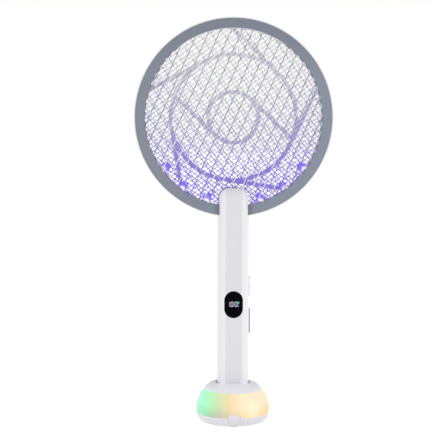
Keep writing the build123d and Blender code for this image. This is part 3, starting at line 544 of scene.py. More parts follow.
@dataclass(frozen=True)
class HoodGlow:
    """Clear plastic hood over a violet lamp: a white-hot core that fades through violet."""

    name: str
    edge: Colour = Colour(116, 92, 234)
    body: Colour = Colour(150, 124, 250)
    core: Colour = Colour(252, 248, 255)
    unlit: Colour = Colour(40, 30, 90)
    strength: float = 0.85
    cloud: float = 2.6
    cloud_depth: float = 0.1
    body_heat: float = 0.45
    core_heat: tuple = (0.55, 0.9)
    grain: float = 0.8
    grain_depth: float = 0.01

    def material(self) -> bpy.types.Material:
        """Colours the hood by its attribute "core", with cloudy streaks.

        Returns:
            The material.
        """
        sheet = NodeSheet(self.name)
        cloud = sheet.spread(sheet.noise(self.cloud, 3.0), -self.cloud_depth, self.cloud_depth)
        heat = sheet.calculate("ADD", sheet.attribute(CORE), cloud)
        violet = sheet.mix(sheet.span(heat, 0.0, self.body_heat), self.edge, self.body)
        glow = sheet.mix(sheet.span(heat, *self.core_heat, smooth=True), violet, self.core)
        sheet.set(
            Base_Color=self.unlit,
            Roughness=0.25,
            Emission_Color=glow,
            Emission_Strength=self.strength,
        )
        sheet.bump(sheet.noise(self.grain), self.grain_depth)
        return sheet.material


@dataclass(frozen=True)
class LampGlow:
    """Milky band lit from inside, green on its left and amber on its front and right."""

    name: str
    upper: tuple = (
        (-42, Colour(186, 255, 220)), (-33, Colour(176, 254, 208)), (-27, Colour(182, 250, 188)),
        (-20, Colour(206, 238, 188)), (-13, Colour(230, 232, 182)), (-7, Colour(250, 227, 170)),
        (0, Colour(255, 231, 196)), (14, Colour(255, 238, 200)), (42, Colour(255, 233, 204)))
    lower: tuple = (
        (-42, Colour(162, 246, 200)), (-34, Colour(160, 234, 186)), (-26, Colour(182, 212, 176)),
        (-17, Colour(202, 206, 178)), (-8, Colour(224, 212, 172)), (-2, Colour(250, 218, 170)),
        (8, Colour(253, 226, 172)), (30, Colour(253, 222, 172)), (42, Colour(252, 216, 164)))
    hot: Colour = Colour(255, 248, 216)
    spots: tuple = (((21, -37, 24), 19.0, 0.9), ((8, -33, 39), 6.0, 0.6))    # place, reach, strength
    cloud: float = 16.0
    wander: float = 2.5
    glow: float = 0.81
    base_share: float = 0.2
    low_start: float = 30.0
    low_end: float = 14.0
    grain: float = 0.4
    grain_depth: float = 0.004

    def material(self) -> bpy.types.Material:
        """Makes a glow that turns from green to amber along X and deepens low down.

        Returns:
            The material.
        """
        sheet = NodeSheet(self.name)
        cloud = sheet.noise(self.cloud, 3.0)
        wander = sheet.spread(cloud, -self.wander * MM, self.wander * MM)
        across = sheet.calculate("ADD", sheet.coordinate("X"), wander)
        height = sheet.calculate("ADD", sheet.coordinate("Z"), wander)
        low = sheet.span(height, self.low_start * MM, self.low_end * MM, smooth=True)
        tint = sheet.mix(low, sheet.ramp(across, self.upper), sheet.ramp(across, self.lower))
        for centre, reach, strength in self.spots:
            spot = sheet.calculate("MULTIPLY", sheet.nearness(centre, reach), strength)
            tint = sheet.mix(spot, tint, self.hot)
        shade = sheet.mix(self.base_share, Colour(0, 0, 0), tint)
        sheet.set(Base_Color=shade, Roughness=0.5, Specular_IOR_Level=0.05,
                  Emission_Color=tint, Emission_Strength=self.glow)
        sheet.bump(sheet.noise(self.grain), self.grain_depth)
        return sheet.material


@dataclass(frozen=True)
class CoverPlastic(MouldedPlastic):
    """White plastic of the dock's cover, with a painted glow of the lamps' light inside its mouth and
    painted shade beside the mouth.
    """

    half_width: float = 15.5
    half_depth: float = 15.9
    mouth_glow: float = 0.56
    mouth_glow_bottom: float = 39.0
    mouth_glow_top: float = 43.0
    side_blur: float = 1.5
    end_blur: float = 0.05
    shade_colour: Colour = Colour(217, 217, 222)
    shade_aside: tuple = (15.0, 22.0)
    shade_height: tuple = (40.0, 46.0)

    def material(self) -> bpy.types.Material:
        """Paints a glow inside the mouth and shade beside the mouth.

        Returns:
            The material.
        """
        sheet = self.sheet()
        aside = sheet.calculate("ABSOLUTE", sheet.coordinate("X"))
        deep = sheet.calculate("ABSOLUTE", sheet.coordinate("Y"))
        height = sheet.coordinate("Z")
        # painted glow of the plastic inside the mouth, near its top
        inside = sheet.calculate(
            "MULTIPLY",
            sheet.edge(aside, self.half_width, self.side_blur),
            sheet.edge(deep, self.half_depth, self.end_blur))
        near_top = sheet.span(height, self.mouth_glow_bottom * MM, self.mouth_glow_top * MM, 0.0, self.mouth_glow)
        beside = sheet.calculate(
            "MULTIPLY",
            sheet.span(aside, self.shade_aside[0] * MM, self.shade_aside[1] * MM),
            sheet.span(height, self.shade_height[0] * MM, self.shade_height[1] * MM))
        sheet.set(
            Base_Color=sheet.mix(beside, sheet.given("Base Color"), self.shade_colour),
            Emission_Color=self.colour,
            Emission_Strength=sheet.calculate("MULTIPLY", inside, near_top),
        )
        return sheet.material


@dataclass(frozen=True)
class BowlPlastic(MouldedPlastic):
    """White plastic of the dock's bowl, with painted shade toward the table."""

    shaded_low_colour: Colour = Colour(203, 203, 209)
    low_start: float = 13.0
    low_end: float = 3.0

    def material(self) -> bpy.types.Material:
        """Paints shade on the plastic low down.

        Returns:
            The material.
        """
        sheet = self.sheet()
        # painted shade low down, toward the table
        low = sheet.span(sheet.coordinate("Z"), self.low_start * MM, self.low_end * MM)
        sheet.set(Base_Color=sheet.mix(low, sheet.given("Base Color"), self.shaded_low_colour))
        return sheet.material


@dataclass(frozen=True)
class Glow:
    """Lens or segment that gives off light, with a slightly uneven brightness."""

    name: str
    colour: Colour
    strength: float
    unlit: Colour = Colour(12, 12, 14)
    patch: float = 1.2
    waver: float = 0.1
    relief: float = 0.004

    def material(self) -> bpy.types.Material:
        """Makes an even tint whose brightness wavers.

        Returns:
            The material.
        """
        sheet = NodeSheet(self.name)
        patch = sheet.noise(self.patch)
        dim, bright = (1 - self.waver) * self.strength, (1 + self.waver) * self.strength
        sheet.set(
            Base_Color=self.unlit,
            Roughness=sheet.spread(patch, 0.15, 0.3),
            Emission_Color=self.colour,
            Emission_Strength=sheet.spread(patch, dim, bright),
        )
        sheet.bump(patch, self.relief)
        return sheet.material


@dataclass(frozen=True)
class CircuitBoard:
    """Glass-fibre board under solder mask, with pale tracks."""

    name: str
    mask: Colour
    track: Colour
    cell: float = 3.0
    track_edge: tuple = (0.04, 0.07)
    weave: float = 0.5
    relief: float = 0.02

    def material(self) -> bpy.types.Material:
        """Lays the mask over a maze of tracks.

        Returns:
            The material.
        """
        sheet = NodeSheet(self.name)
        cells = sheet.add("ShaderNodeTexVoronoi", feature="DISTANCE_TO_EDGE")
        sheet.join(sheet.place(), cells.inputs["Vector"])
        cells.inputs["Scale"].default_value = 1 / (self.cell * MM)
        track = sheet.span(cells.outputs["Distance"], *self.track_edge)
        weave = sheet.noise(self.weave)
        sheet.set(
            Base_Color=sheet.mix(track, self.track, self.mask),
            Roughness=sheet.spread(weave, 0.3, 0.42),
        )
        sheet.bump(sheet.calculate("MULTIPLY", track, weave), self.relief)
        return sheet.material


class Finishes:
    """Every finish of the object, made once and kept by name."""

    def __init__(self) -> None:
        """Makes the finishes."""
        violet = Colour(152, 140, 218)
        listed = (
            MouldedPlastic("white_plastic", Colour(224, 224, 229), Colour(220, 220, 226), 0.42),
            HandlePlastic("handle_white", Colour(224, 224, 229), Colour(220, 220, 226), 0.42),
            CoverPlastic("cover_white", Colour(231, 231, 236), Colour(227, 227, 233), 0.45),
            BowlPlastic("base_white", Colour(227, 227, 232), Colour(223, 223, 229), 0.45),
            # white knob made darker as painted shade
            MouldedPlastic("knob_white", Colour(200, 200, 208), Colour(195, 195, 204), 0.42),
            BezelPaint("ring_grey", Colour(130, 137, 150), Colour(126, 133, 146), 0.5, grain=0.4),
            MouldedPlastic("key_grey", Colour(160, 162, 175), Colour(155, 157, 170), 0.42),
            MouldedPlastic("housing_black", Colour(32, 33, 36), Colour(24, 25, 28), 0.45),
            MouldedPlastic("foot_rubber", Colour(206, 207, 210), Colour(198, 199, 203), 0.7,
                           grain=0.6, grain_depth=0.02),
            MouldedPlastic("display_black", Colour(13, 13, 17), Colour(10, 10, 14), 0.3,
                           grain=0.5, grain_depth=0.0005, specular=0.0),
            MouldedPlastic("cell_wrap", Colour(70, 120, 190), Colour(62, 110, 180), 0.3, grain=1.0),
            MouldedPlastic("ferrite", Colour(70, 68, 70), Colour(56, 54, 56), 0.6,
                           grain=0.5, grain_depth=0.03),
            MouldedPlastic("lead_sleeve", Colour(190, 60, 54), Colour(178, 50, 46), 0.4),
            MouldedPlastic("capacitor_case", Colour(200, 140, 60), Colour(190, 128, 52), 0.35),
            MouldedPlastic("lamp_trim", Colour(226, 230, 250), Colour(220, 225, 246), 0.3),
            DrawnMetal("steel", Colour(196, 198, 202), Colour(176, 178, 184)),
            # dark steel: painted shade of the screws' cross recesses
            DrawnMetal("steel_recess_shade", Colour(74, 76, 80), Colour(60, 62, 66), 0.5),
            DrawnMetal("brass", Colour(224, 196, 120), Colour(206, 176, 100), 0.25),
            DrawnMetal("copper", Colour(206, 122, 78), Colour(184, 100, 62), 0.32, lines=(12, 12, 40)),
            # second and third colours of each wire: painted highlight and painted shade of the zinc
            LitWire("guard_wire", Colour(254, 254, 254), Colour(64, 66, 60), violet, glow=0.12),
            LitWire("rear_wire", Colour(236, 236, 242), Colour(104, 103, 114), violet, glow=0.2),
            LitWire("spark_wire", Colour(240, 240, 246), Colour(108, 106, 118), violet, glow=0.2),
            LitPlastic("rib_plastic", Colour(240, 239, 246), Colour(232, 230, 240),
                       Colour(166, 150, 232), glow=0.12),
            HoodGlow("hood_glow"),
            LampGlow("lamp_band"),
            Glow("white_led", Colour(255, 244, 214), 2.0),
            Glow("violet_lens", Colour(190, 170, 255), 2.0),
            Glow("digit_light", Colour(226, 226, 250), 1.0),
            Glow("dim_digit_light", Colour(190, 190, 220), 0.7),
            Glow("green_mark_light", Colour(70, 200, 140), 0.8),
            Glow("violet_mark_light", Colour(150, 120, 220), 0.8),
            CircuitBoard("board_green", Colour(26, 92, 60), Colour(58, 132, 92)),
        )
        self.by_name = {finish.name: finish.material() for finish in listed}

    def __getitem__(self, name: str) -> bpy.types.Material:
        """Finish of that name."""
        return self.by_name[name]


# ---------------------------------------------------------------------------- surfaces
def grid_faces(rows: int, columns: int, close_rows: bool = False) -> np.ndarray:
    """Quads of a grid whose columns run round and close on themselves.

    Args:
        rows: number of rows.
        columns: points in each row.
        close_rows: joins the last row to the first.

    Returns:
        Array of quads, (count, 4).
    """
    row = np.arange(rows if close_rows else rows - 1)[:, None]
    column = np.arange(columns)[None, :]
    beside = (column + 1) % columns
    below = (row + 1) % rows
    corners = (row * columns + column, row * columns + beside,
               below * columns + beside, below * columns + column)
    return np.stack([np.broadcast_to(c, (len(row), columns)) for c in corners], -1).reshape(-1, 4)


def cap_faces(rows: int, columns: int) -> np.ndarray:
    """Two end faces of a grid, one over its first row and one over its last.

    Args:
        rows: number of rows.
        columns: points in each row, which are the corners of each end face.

    Returns:
        Array of two faces, (2, columns).
    """
    first = np.arange(columns)[::-1]
    last = (rows - 1) * columns + np.arange(columns)
    return np.stack([first, last])


@dataclass
class Surface:
    """Points, faces and vertex values of a piece, which several shapes can add to."""

    points: list = field(default_factory=list)
    faces: list = field(default_factory=list)
    values: dict = field(default_factory=dict)
    count: int = 0

    def add(self, points: np.ndarray, faces: tuple, **values: np.ndarray) -> None:
        """Adds one shape, or many of one kind.

        Args:
            points: (..., rows, columns, 3) array in metres; leading axes are copies of the shape.
            faces: arrays of faces of one copy.
            values: value of each point by attribute name.
        """
        size = points.shape[-3] * points.shape[-2]
        copies = points.reshape(-1, size, 3)
        starts = self.count + np.arange(len(copies)) * size
        for group in faces:
            shifted = group[None] + starts[:, None, None]
            self.faces.extend(shifted.reshape(-1, group.shape[1]).tolist())
        self.points.append(copies.reshape(-1, 3))
        for name in (VIOLET, PAINTED_LIGHT, CORE):
            given = values.get(name, np.zeros(()))
            spread = np.broadcast_to(given, points.shape[:-1]).ravel()
            self.values.setdefault(name, []).append(spread)
        self.count += len(self.points[-1])

    def piece(self, name: str, body: str, material: bpy.types.Material,
              replaces: tuple = (), sharp: float = 35.0) -> bpy.types.Object:
        """Makes the Blender object and gives it its body.

        Args:
            name: the piece's name.
            body: CAD body that it rides on.
            material: its finish.
            replaces: CAD nodes that it stands for.
            sharp: edges that turn more than this many degrees stay sharp.

        Returns:
            The new object, at the origin.
        """
        mesh = bpy.data.meshes.new(name)
        mesh.from_pydata(np.concatenate(self.points).tolist(), [], self.faces)
        for attribute, parts in self.values.items():
            joined = np.concatenate(parts).astype(np.float32)
            if joined.any():
                mesh.attributes.new(attribute, "FLOAT", "POINT").data.foreach_set("value", joined)
        mesh.polygons.foreach_set("use_smooth", np.ones(len(mesh.polygons), bool))
        mesh.set_sharp_from_angle(angle=math.radians(sharp))
        mesh.materials.append(material)
        mesh.validate()
        made = bpy.data.objects.new(name, mesh)
        bpy.context.scene.collection.objects.link(made)
        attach(made, body)
        if replaces:
            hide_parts(*replaces)
        log.info("%s: %d faces", name, len(mesh.polygons))
        return made


def swept(section: np.ndarray, path: np.ndarray, first: np.ndarray, second: np.ndarray) -> np.ndarray:
    """Sections carried along paths.

    The point of section corner (p, q) at a path's point m is m + p first + q second.

    Args:
        section: (k, 2) array.
        path: (..., steps, 3) array.
        first: direction or directions of the section's first axis, broadcast against the path.
        second: the same of its second axis.

    Returns:
        Points (..., steps, k, 3).
    """
    first = np.broadcast_to(first, path.shape)[..., None, :]
    second = np.broadcast_to(second, path.shape)[..., None, :]
    return path[..., None, :] + section[:, :1] * first + section[:, 1:] * second


def corner_turns(sides: int) -> np.ndarray:
    """Angle of each corner of a circle's polygon, which starts half a side from the first axis."""
    return (np.arange(sides) + 0.5) * 2 * np.pi / sides


def circle(radius: float, sides: int) -> np.ndarray:
    """Corners (radius cos a, radius sin a) of a circle's polygon, as a (sides, 2) array."""
    turn = corner_turns(sides)
    return radius * np.stack([np.cos(turn), np.sin(turn)], -1)


def full_turn(columns: int) -> np.ndarray:
    """Angles of the columns round an axis, from 0."""
    return np.linspace(0, 2 * np.pi, columns, endpoint=False)


def power(wave: np.ndarray, exponent: float) -> np.ndarray:
    """Sine or cosine raised to a power with its sign kept, which squares a circle off."""
    return np.sign(wave) * np.abs(wave) ** exponent


def rounded(corners: list, steps: int = 4) -> np.ndarray:
    """Closed outline whose corners are rounded.

    Each corner c becomes points of the curve a(1-t)^2 + 2 c t (1-t) + b t^2, where a and b lie on
    its two edges at the corner's reach.

    Args:
        corners: (first, second, reach) of each corner in order.
        steps: points on each corner.

    Returns:
        (n, 2) array.
    """
    places = np.array([corner[:2] for corner in corners], float)
    reach = np.array([corner[2] for corner in corners], float)[:, None]
    before = np.roll(places, 1, 0) - places
    after = np.roll(places, -1, 0) - places
    start = (places + before / np.linalg.norm(before, axis=1, keepdims=True) * reach)[:, None]
    end = (places + after / np.linalg.norm(after, axis=1, keepdims=True) * reach)[:, None]
    share = np.linspace(0, 1, steps)[None, :, None]
    bend = 2 * places[:, None] * share * (1 - share)
    return (start * (1 - share) ** 2 + bend + end * share ** 2).reshape(-1, 2)


def rounded_box(first: tuple, second: tuple, reach: float, steps: int = 4) -> np.ndarray:
    """Rounded rectangle that turns from the first axis to the second.

    Args:
        first: its span along the first axis.
        second: its span along the second axis.
        reach: of each rounded corner along its edges.
        steps: points on each corner.

    Returns:
        (4 steps, 2) array.
    """
    return rounded([
        (first[0], second[0], reach), (first[1], second[0], reach),
        (first[1], second[1], reach), (first[0], second[1], reach)], steps)


def about_head(profile: np.ndarray, height: float, segments: int) -> np.ndarray:
    """Closed (radius, depth) profile turned about the head's axis.

    A profile point (r, d) at turn a lies at (r sin a, d, height + r cos a).

    Args:
        profile: (n, 2) array in metres.
        height: of the axis.
        segments: columns round the axis.

    Returns:
        Points (n, segments, 3).
    """
    turn = full_turn(segments)[None, :]
    radius, depth = profile[:, :1], profile[:, 1:]
    return np.stack([radius * np.sin(turn), depth + 0 * turn, height + radius * np.cos(turn)], -1)


def about_dock(profile: np.ndarray, segments: int) -> np.ndarray:
    """Closed (radius, height) profile turned about the dock's axis.

    A profile point (r, h) at turn a lies at (r cos a, r sin a, h).

    Args:
        profile: (n, 2) array in metres.
        segments: columns round the axis.

    Returns:
        Points (n, segments, 3).
    """
    turn = full_turn(segments)[None, :]
    radius, height = profile[:, :1], profile[:, 1:]
    return np.stack([radius * np.cos(turn), radius * np.sin(turn), height + 0 * turn], -1)


# ---------------------------------------------------------------------------- violet light
@dataclass(frozen=True)
class VioletLight:
    """How much of the head's violet light reaches a point.

    The light of each lamp fades as exp(-distance / fade), where the distance is measured in the
    head's plane.  Weaker sources on the ring stand for what its wall and the handle pass on.  The
    lamps' angles run from straight down, and the height of the head's axis is in metres.
    """

    height: float
    radius: float = 100.0
    lamp_angles: tuple = (-54.0, -36.0, -18.0, 18.0, 36.0, 54.0)
    wall_angles: tuple = (-112.0, -92.0, -74.0, -4.0, 4.0, 74.0, 92.0, 112.0)
    wall_shares: tuple = (0.2, 0.2, 0.2, 0.45, 0.45, 0.2, 0.2, 0.2)
    fade: float = 30.0
    strength: float = 0.62

    def at(self, points: np.ndarray) -> np.ndarray:
        """Light at each point.

        Args:
            points: (..., 3) array in metres.

        Returns:
            Array of the same shape without its last axis.
        """
        angles = np.radians(np.array(self.lamp_angles + self.wall_angles))
        shares = np.array((1.0,) * len(self.lamp_angles) + self.wall_shares)
        radius = self.radius * MM
        x = radius * np.sin(angles)
        z = self.height - radius * np.cos(angles)
        distance = np.hypot(points[..., 0, None] - x, points[..., 2, None] - z)
        fades = np.exp(-distance / (self.fade * MM))
        return self.strength * (shares * fades).sum(-1)


# ---------------------------------------------------------------------------- head
class WireShading(Enum):
    """Painted light and shade on the skin of a layer's wires: a tone from 0, painted shade, to 1,
    painted highlight.
    """

    BRIGHT = 1.0
    PALE = 0.95
    MIDDLING = 0.6
    DULL = 0.12
    HALF = None    # painted shade on one side and painted highlight on the other

    def tone(self, turn: np.ndarray) -> np.ndarray:
        """Painted light and shade on the skin.

        Args:
            turn: angle round the wire's section, from the depth axis.

        Returns:
            Tone at each angle.
        """
        if self is WireShading.HALF:
            return (np.sin(turn) < 0).astype(float)
        return np.full(turn.shape, self.value)


@dataclass(frozen=True)
class WireLayer:
    """Parallel wires of one layer of a net, whose painted light and shade may change high up."""

    angle: float
    phase: float
    below: WireShading
    above: WireShading
    change: tuple = (-20.0, 130.0)    # heights over which it goes from below to above

    def tone(self, turn: np.ndarray, rise: np.ndarray) -> np.ndarray:
        """Painted light and shade on the skin, which goes evenly from the lower shading to the upper
        one.

        Args:
            turn: angles round a wire's section.
            rise: height above the head's axis, in millimetres, with a last axis of 1.

        Returns:
            Tone from 0, painted shade, to 1, painted highlight.
        """
        share = np.clip((rise - self.change[0]) / (self.change[1] - self.change[0]), 0, 1)
        return (1 - share) * self.below.tone(turn) + share * self.above.tone(turn)


@dataclass
class WireNet:
    """One net: two layers of straight wire that cross, with a weld knot at each crossing."""

    node: str
    finish: str
    wire: float
    pitch: float
    layers: tuple
    light_share: float = 1.0
    knots: bool = True
    knot_tone: float = 0.5
    knot_rows: int = 3
    knot_columns: int = 6
    knot_flatness: tuple = (0.6, 0.9)    # its radii in the net's plane and in depth, in wires
    knot_tilts: tuple = (35.0, 145.0)
    knot_margin: float = 2.0
    hoop_margin: float = 0.15
    reach: float = 103.4
    hoop_width: float = 2.4
    hoop_edge: float = 0.2
    hoop_columns: int = 144
    edge_share: float = 0.25
    edge_tone: float = 0.95
    tabs: int = 0
    tab_columns: int = 6
    tab_share: float = 0.65
    tab_rise: float = 0.8
    # painted shadow on the tabs
    dash_shadow_tone: float = 0.1
    tab_spans: tuple = ((34.0, 166.0), (194.0, 324.0))
    swell: float = 0.0
    bow: float = 0.12
    bow_seed: int = 7
    sides: int = 8
    steps: int = 16

    def build(self, light: VioletLight, finishes: Finishes) -> bpy.types.Object:
        """Makes the net where its CAD node lies.

        Args:
            light: violet light of the lamps.
            finishes: the object's finishes.

        Returns:
            The net.
        """
        low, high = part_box(self.node)
        inset = (self.hoop_margin + self.wire / 2) * MM
        depths = (low.y + inset, high.y - inset)
        surface = Surface()
        shaker = np.random.default_rng(self.bow_seed)
        for layer, depth in zip(self.layers, depths):
            self.add_wires(surface, layer, depth, light, shaker)
        if self.knots:
            self.add_knots(surface, sum(depths) / 2, light)
        self.add_hoop(surface, low.y, high.y, (high.x - low.x) / 2, light)
        return surface.piece(self.node + "_wires", "racket", finishes[self.finish],
                             (self.node,))

    def add_hoop(self, surface: Surface, front: float, back: float, outer: float,
                 light: VioletLight) -> None:
        """Adds the hoop that holds the wires' ends, with tabs along parts of its inner edge that are
        painted dark as dashes of shadow.

        The hoop's profile is turned about the head's axis; where a tab is, the inner edge is drawn
        inward by the tabs' rise.

        Args:
            surface: what it is added to.
            front: depth of its front, in metres.
            back: depth of its back.
            outer: its outer radius.
            light: violet light of the lamps.
        """
        columns = self.tabs * self.tab_columns or self.hoop_columns
        share = np.arange(columns) / columns
        spans = [(share * 360 > start) & (share * 360 < end) for start, end in self.tab_spans]
        tab = (share * self.tabs % 1 < self.tab_share) & np.any(spans, axis=0) & (self.tabs > 0)
        across = (outer - self.hoop_width * MM, outer)
        profile = rounded_box(across, (front, back), self.hoop_edge * MM, 3)
        inner = profile[:, :1] < outer - self.hoop_width / 2 * MM
        shift = self.tab_rise * MM * (tab[None, :] & inner)
        points = about_head(profile, light.height, columns)
        turn = 2 * np.pi * share
        points -= shift[..., None] * np.stack([np.sin(turn), 0 * turn, np.cos(turn)], -1)
        # the tabs are painted dark as dashes of shadow along the hoop's inner edge
        surface.add(points, (grid_faces(len(profile), columns, True),),
                    violet=self.edge_share * light.at(points),
                    tone=np.where(tab, self.dash_shadow_tone, self.edge_tone))

    def add_wires(self, surface: Surface, layer: WireLayer, depth: float, light: VioletLight,
                  shaker: np.random.Generator) -> None:
        """Adds a layer's wires, each bowed sideways by a half sine wave.

        The middle of a wire at share t is start + t (end - start) + bow sin(pi t).

        Args:
            surface: what they are added to.
            layer: their direction and finish.
            depth: of their middles, in metres.
            light: violet light of the lamps.
            shaker: gives each wire's bow.
        """
        turn = math.radians(layer.angle)
        along = np.array([math.cos(turn), 0.0, math.sin(turn)])
        across = np.array([-math.sin(turn), 0.0, math.cos(turn)])
        offsets = self.offsets(layer.phase)[:, None, None] * MM
        half = np.sqrt((self.reach * MM) ** 2 - offsets ** 2)
        share = np.linspace(0, 1, self.steps)[None, :, None]
        bow = shaker.uniform(-self.bow, self.bow, offsets.shape) * MM * np.sin(np.pi * share)
        middle = np.array([0.0, depth, light.height]) + (offsets + bow) * across
        path = middle + (2 * share - 1) * half * along
        size = 1 + self.swell * light.at(path)[..., None]
        ring = circle(self.wire / 2 * MM, self.sides)
        points = swept(ring, path, size * np.array([0.0, 1.0, 0.0]), size * across)
        faces = (grid_faces(self.steps, self.sides), cap_faces(self.steps, self.sides))
        surface.add(points, faces, violet=self.light_share * light.at(points),
                    tone=layer.tone(corner_turns(self.sides), (path[..., 2:] - light.height) / MM))

    def offsets(self, phase: float) -> np.ndarray:
        """Places a layer's wires at the pitch, as far as the hoop.

        Args:
            phase: of the wire nearest the head's axis.

        Returns:
            Distances of the wires from the axis, in millimetres.
        """
        count = int(self.reach / self.pitch) + 1
        offsets = np.arange(-count, count + 1) * self.pitch + phase
        return offsets[np.abs(offsets) < self.reach - 2 * self.wire]

    def add_knots(self, surface: Surface, depth: float, light: VioletLight) -> None:
        """Adds a flattened weld knot at each crossing.

        With p and q the shares of knot_flatness and w the wire's width, a knot's point at tilt u and
        turn v is centre + w (p sin u cos v, q cos u, p sin u sin v).

        Args:
            surface: what they are added to.
            depth: of the layers' contact.
            light: violet light of the lamps.
        """
        turns = np.radians([layer.angle for layer in self.layers])
        normals = np.stack([-np.sin(turns), np.cos(turns)], -1)
        first, second = np.meshgrid(*(self.offsets(layer.phase) for layer in self.layers))
        places = np.linalg.solve(normals, np.stack([first.ravel(), second.ravel()])).T
        places = places[np.hypot(*places.T) < self.reach - self.knot_margin] * MM
        centres = np.stack([places[:, 0], np.full(len(places), depth), light.height + places[:, 1]], -1)
        tilt = np.radians(np.linspace(*self.knot_tilts, self.knot_rows))[:, None]
        turn = full_turn(self.knot_columns)[None, :]
        flat, deep = self.knot_flatness
        unit = np.stack([flat * np.sin(tilt) * np.cos(turn), deep * np.cos(tilt) + 0 * turn,
                         flat * np.sin(tilt) * np.sin(turn)], -1)
        points = centres[:, None, None] + unit * self.wire * MM
        size = (self.knot_rows, self.knot_columns)
        surface.add(points, (grid_faces(*size), cap_faces(*size)),
                    violet=self.light_share * light.at(points), tone=self.knot_tone)


@dataclass
class LampHoods:
    """Clear ring between the two front nets, with a hollow hood over each violet lamp."""

    width: float = 10.8
    thick: float = 5.2
    reach: float = 10.8
    taper: float = 0.76
    root: float = 1.0
    core_reach: float = 1.2
    core_size: float = 3.4
    glow: float = 0.5
    nose_loss: float = 0.35
    side_loss: float = 0.2
    nose_power: int = 6
    band_width: float = 2.8
    band_edge: float = 0.3
    band_columns: int = 144
    band_share: float = 0.3
    columns: int = 20
    squareness: float = 0.7

    def build(self, light: VioletLight, finishes: Finishes) -> None:
        """Makes the ring and its hoods.

        Args:
            light: violet light of the lamps.
            finishes: the object's finishes.
        """
        low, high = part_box("front_spacer_ring")
        outer = (high.x - low.x) / 2
        inner = outer - self.band_width * MM
        band = rounded_box((inner, outer), (low.y, high.y), self.band_edge * MM, 3)
        points = about_head(band, light.height, self.band_columns)
        ring = Surface()
        ring.add(points, (grid_faces(len(band), self.band_columns, True),),
                 violet=self.band_share * light.at(points))
        ring.piece("front_spacer_band", "racket", finishes["rib_plastic"],
                   ("front_spacer_ring",))
        hoods = Surface()
        self.add_hoods(hoods, (low.y + high.y) / 2, inner, light)
        hoods.piece("lamp_hoods", "racket", finishes["hood_glow"])

    def add_hoods(self, surface: Surface, depth: float, inner: float, light: VioletLight) -> None:
        """Adds the hoods, each a flat oval that narrows to a round nose.

        At share t of its reach a hood's half width is w (1 - (1 - taper) t) sqrt(1 - t^n) / 2, where
        n is nose_power.  Its half thickness follows the same rule, and its section is a superellipse.

        Args:
            surface: what they are added to.
            depth: of their middles, in metres.
            inner: radius of the ring's inner wall.
            light: gives the lamps' angles.
        """
        angles = np.radians(light.lamp_angles)[:, None, None]
        outward = np.concatenate([np.sin(angles), 0 * angles, -np.cos(angles)], -1)
        tangent = np.concatenate([np.cos(angles), 0 * angles, np.sin(angles)], -1)
        share = np.append(np.linspace(0, 0.9, 10), (0.96, 0.99, 0.999))[None, :, None]
        start = inner + self.root * MM
        inward = (self.reach + self.root) * MM * share
        path = np.array([0.0, depth, light.height]) + outward * (start - inward)
        narrow = (1 - (1 - self.taper) * share) * np.sqrt(1 - share ** self.nose_power)
        turn = full_turn(self.columns)
        across = power(np.cos(turn), self.squareness) * self.width / 2 * MM
        deep = power(np.sin(turn), self.squareness) * self.thick / 2 * MM
        points = (path[..., None, :] + (narrow * across)[..., None] * tangent[..., None, :]
                  + (narrow * deep)[..., None] * np.array([0.0, 1.0, 0.0]))
        core = np.array([0.0, depth, light.height]) + outward * (inner - self.core_reach * MM)
        gap = points - core[..., None, :]
        gap[..., 1] = 0
        near = np.linalg.norm(gap, axis=-1) / (self.core_size * MM)
        heat = (np.exp(-near ** 2) + self.glow - self.nose_loss * share
                - self.side_loss * np.cos(turn) ** 2)
        size = (points.shape[-3], self.columns)
        surface.add(points, (grid_faces(*size), cap_faces(*size)), core=heat)


